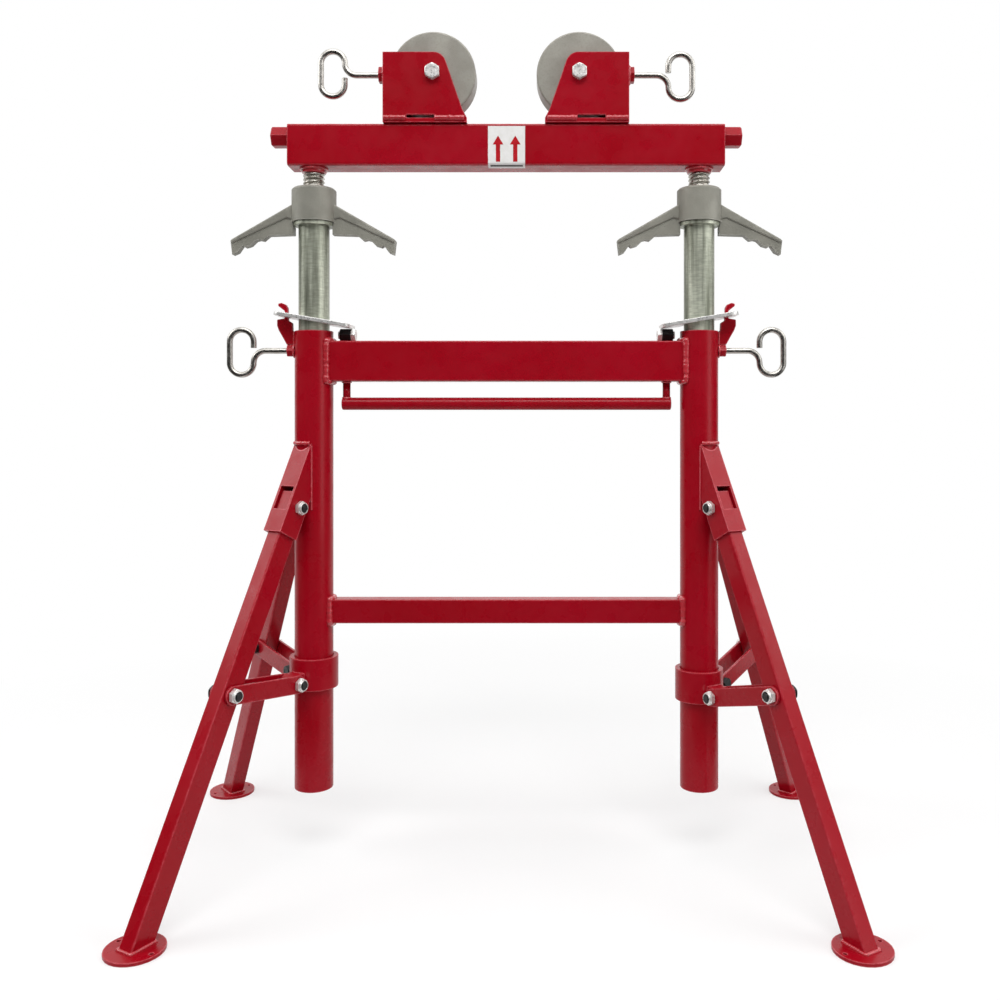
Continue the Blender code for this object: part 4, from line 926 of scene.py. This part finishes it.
def wrapped(left, right, top, under, height, skip=0):
    """A thin strip on the beam's front, from a height down round the corner and back underneath."""
    front, base = BEAM_LOW.y, BEAM_LOW.z
    line = [(front, top), (front, base + BEAM_CORNER + 0.0001)]
    for a in [math.radians(degrees) for degrees in (15, 30, 45, 60, 75)]:
        line.append((front + BEAM_CORNER * (1 - math.cos(a)), base + BEAM_CORNER * (1 - math.sin(a))))
    line += [(front + BEAM_CORNER + 0.0001, base), (front + BEAM_CORNER + under, base)]
    out = []
    for i, (y, z) in enumerate(line):
        turn = math.radians(min(90, max(0, 15 * (i - 1))))
        out.append((y - height * math.cos(turn), z - height * math.sin(turn)))
    line, out = line[skip:], out[skip:]
    bm = bmesh.new()
    skins = [[[bm.verts.new((x, y, z)) for y, z in edge] for x in (left, right)] for edge in (line, out)]
    for (a, b), flip in zip(skins, (1, -1)):
        for i in range(len(line) - 1):
            bm.faces.new((a[i], a[i + 1], b[i + 1], b[i])[::flip])
    (a, b), (c, d) = skins
    for low, high in ((a, c), (b, d)):
        for i in range(len(line) - 1):
            bm.faces.new((low[i], low[i + 1], high[i + 1], high[i]))
    for i in (0, -1):
        bm.faces.new((a[i], b[i], d[i], c[i]))
    bmesh.ops.recalc_face_normals(bm, faces=bm.faces)
    return bm


whole = wrapped(left=-0.0282, right=0.0298, top=1.1490, under=0.0150, height=0.0002)
piece("sticker", whole, "head", film)
ARROW_FOOT, ARROW_NECK, ARROW_TIP = 1.0930, 1.1200, 1.1340
STEM_HALF, HEAD_HALF = 0.0034, 0.0084
arrows = bmesh.new()
for x in (-0.0125, 0.0145):
    right = [(x + HEAD_HALF, ARROW_NECK), (x + STEM_HALF, ARROW_NECK), (x + STEM_HALF, ARROW_FOOT)]
    left = [(2 * x - edge, z) for edge, z in reversed(right)]
    arrow = plate(left + [(x, ARROW_TIP)] + right, 0.0001)
    join(arrows, laid(arrow, Matrix.Translation((0, BEAM_LOW.y - 0.00025, 0))))
piece("sticker_arrows", arrows, "head", red_print)
strip = wrapped(left=-0.0246, right=0.0262, top=1.0900, under=0.0045, height=0.0003, skip=5)
piece("sticker_bar", strip, "head", black_print)
print("sticker on the beam's front at y", round(BEAM_LOW.y, 4))

# %% [markdown]
# ## Studio
#
# The photograph is a cut-out on white. The floor is a pale sheet that also glows a little to
# the camera and to reflections, so that it meets the white world without a line and still
# keeps the stand's shadow. Further out it turns all white. The photographer's side of the room
# was dark, which is why the glossy paint looks so deep, so a dark curved wall and a dark mat in
# front stand there for reflections only. At its right front the wall glows, though it is no lamp,
# as a painted reflection that lights the posts' right sides crimson.

# %% Floor, world and the dark side of the room
def sheet(name, corners, faces=((0, 1, 2, 3),)):
    data = bpy.data.meshes.new(name)
    data.from_pydata(corners, [], faces)
    obj = bpy.data.objects.new(name, data)
    bpy.context.scene.collection.objects.link(obj)
    return obj


def seen(tree):
    """1 for rays from the camera and for reflected and transmitted rays."""
    rays = add(tree, "ShaderNodeLightPath").outputs
    total = rays["Is Camera Ray"]
    for name in ("Is Glossy Ray", "Is Transmission Ray"):
        total = maths(tree, "MAXIMUM", total, rays[name])
    return total


floor = sheet("floor", [(-9, -9, 0), (9, -9, 0), (9, 9, 0), (-9, 9, 0)])
paper, tree, shader = finish("floor_paper", roughness=0.9, specular=0.0)
pale = blend(tree, noise(tree, 3, 2), (0.50, 0.50, 0.50), (0.52, 0.52, 0.52))
tree.links.new(pale, shader.inputs["Base Color"])
unlit = add(tree, "ShaderNodeEmission", {"Strength": 0})
glow = add(tree, "ShaderNodeEmission", {"Strength": 0.46})
choose = add(tree, "ShaderNodeMixShader", {0: seen(tree), 1: unlit.outputs[0], 2: glow.outputs[0]})
both = add(tree, "ShaderNodeAddShader", {0: shader.outputs[0], 1: choose.outputs[0]})
place = add(tree, "ShaderNodeTexCoord").outputs["Object"]
away = add(tree, "ShaderNodeVectorMath", {0: place}, operation="LENGTH").outputs["Value"]
fade = maths(tree, "MULTIPLY", spread(tree, away, 0, 1, 0.75, 1.7), seen(tree))
pure = add(tree, "ShaderNodeEmission")
whole = add(tree, "ShaderNodeMixShader", {0: fade, 1: both.outputs[0], 2: pure.outputs[0]})
tree.links.new(whole.outputs[0], tree.nodes["Material Output"].inputs["Surface"])
floor.data.materials.append(paper)

WALL_REACH, WALL_STEPS = 3.4, 24
bend = [math.radians(157 + 238 * i / WALL_STEPS) for i in range(WALL_STEPS + 1)]
corners = [(WALL_REACH * math.cos(a), WALL_REACH * math.sin(a), 0) for a in bend]
corners += [(x, y, 1.6 + 1.5 * max(0, -y / WALL_REACH) ** 2) for x, y, _ in corners]
faces = [(i, i + 1, i + 2 + WALL_STEPS, i + 1 + WALL_STEPS) for i in range(WALL_STEPS)]
wall = sheet("dark_wall", corners, faces)
corners = [(-3, -3), (3, -3), (3, 0.5), (0.85, 0.5), (0.72, -0.45), (-0.62, -0.45), (-0.8, 0.2), (-3, 0.2)]
mat = sheet("dark_mat", [(x, y, 0.001) for x, y in corners], [range(8)])
dark, tree, shader = finish("dark_card_and_painted_glow", roughness=0.9, specular=0.0)
cloudy = blend(tree, noise(tree, 2, 2), (0.01, 0.01, 0.01), (0.02, 0.02, 0.02))
tree.links.new(cloudy, shader.inputs["Base Color"])
place = add(tree, "ShaderNodeTexCoord").outputs["Object"]
x, y, _ = add(tree, "ShaderNodeSeparateXYZ", {0: place}).outputs
# Painted reflection: the wall's right front part glows, though it is no lamp, and only reflections see it.
glow_panel = maths(tree, "MULTIPLY", spread(tree, x, 0, 0.4, 1.7, 2.3), spread(tree, y, 1, 0, -0.7, -0.1))
shader.inputs["Emission Color"].default_value = (1, 1, 1, 1)
tree.links.new(glow_panel, shader.inputs["Emission Strength"])
for reflection_card in (wall, mat):
    reflection_card.data.materials.append(dark)
    reflection_card.visible_camera = reflection_card.visible_diffuse = reflection_card.visible_shadow = False

world = bpy.data.worlds.new("white_studio")
bpy.context.scene.world = world
world.use_nodes = True
tree = world.node_tree
fill = tree.nodes["Background"]
fill.inputs["Color"].default_value = (1, 1, 1, 1)
fill.inputs["Strength"].default_value = 0.40
white = add(tree, "ShaderNodeBackground", {"Color": (1, 1, 1, 1), "Strength": 1.0})
choose = add(tree, "ShaderNodeMixShader", {0: seen(tree), 1: fill.outputs[0], 2: white.outputs[0]})
tree.links.new(choose.outputs[0], tree.nodes["World Output"].inputs["Surface"])


# %% Softboxes
def softbox(name, at, aim, width, height, power):
    data = bpy.data.lights.new(name, "AREA")
    data.shape = "RECTANGLE"
    data.size, data.size_y, data.energy = width, height, power
    obj = bpy.data.objects.new(name, data)
    obj.location = at
    obj.rotation_euler = (Vector(aim) - Vector(at)).to_track_quat("-Z", "Y").to_euler()
    bpy.context.scene.collection.objects.link(obj)


softbox("high_front", (0.1, -2.2, 3.6), (0, 0, 0.6), 2.8, 1.5, 72)
softbox("low_right", (2.6, -1.5, 1.0), (0, 0, 0.7), 1.2, 1.8, 11)
softbox("high_right", (2.9, -0.4, 2.4), (0.3, 0, 0.4), 1.7, 1.7, 22)
softbox("high_left", (-2.9, -0.4, 2.4), (-0.3, 0, 0.4), 1.7, 1.7, 34)
softbox("top", (0, 0.2, 3.2), (0, 0, 0.6), 2.4, 1.6, 14)
softbox("back", (0, 2.6, 2.2), (0, 0, 0.7), 2.6, 1.2, 12)

# %% [markdown]
# ## Camera
#
# The photograph was taken nearly level, about 1.6 m in front, a little to the right of the
# middle. The vertical lines stay parallel, so the frame is moved by lens shift and not by
# tilting the camera.

# %% Camera
lens = bpy.data.cameras.new("camera")
lens.lens = 36
lens.sensor_width = 36
lens.shift_x = -0.0418
lens.shift_y = -0.085
camera = bpy.data.objects.new("camera", lens)
level = Matrix.Rotation(math.radians(90), 4, "X")
camera.matrix_world = Matrix.Translation((0.056, POST_Y - 1.590, 0.697)) @ level
bpy.context.scene.collection.objects.link(camera)
bpy.context.scene.camera = camera
bpy.context.scene.view_settings.view_transform = "Standard"
print("camera", [round(c, 3) for c in camera.matrix_world.translation])
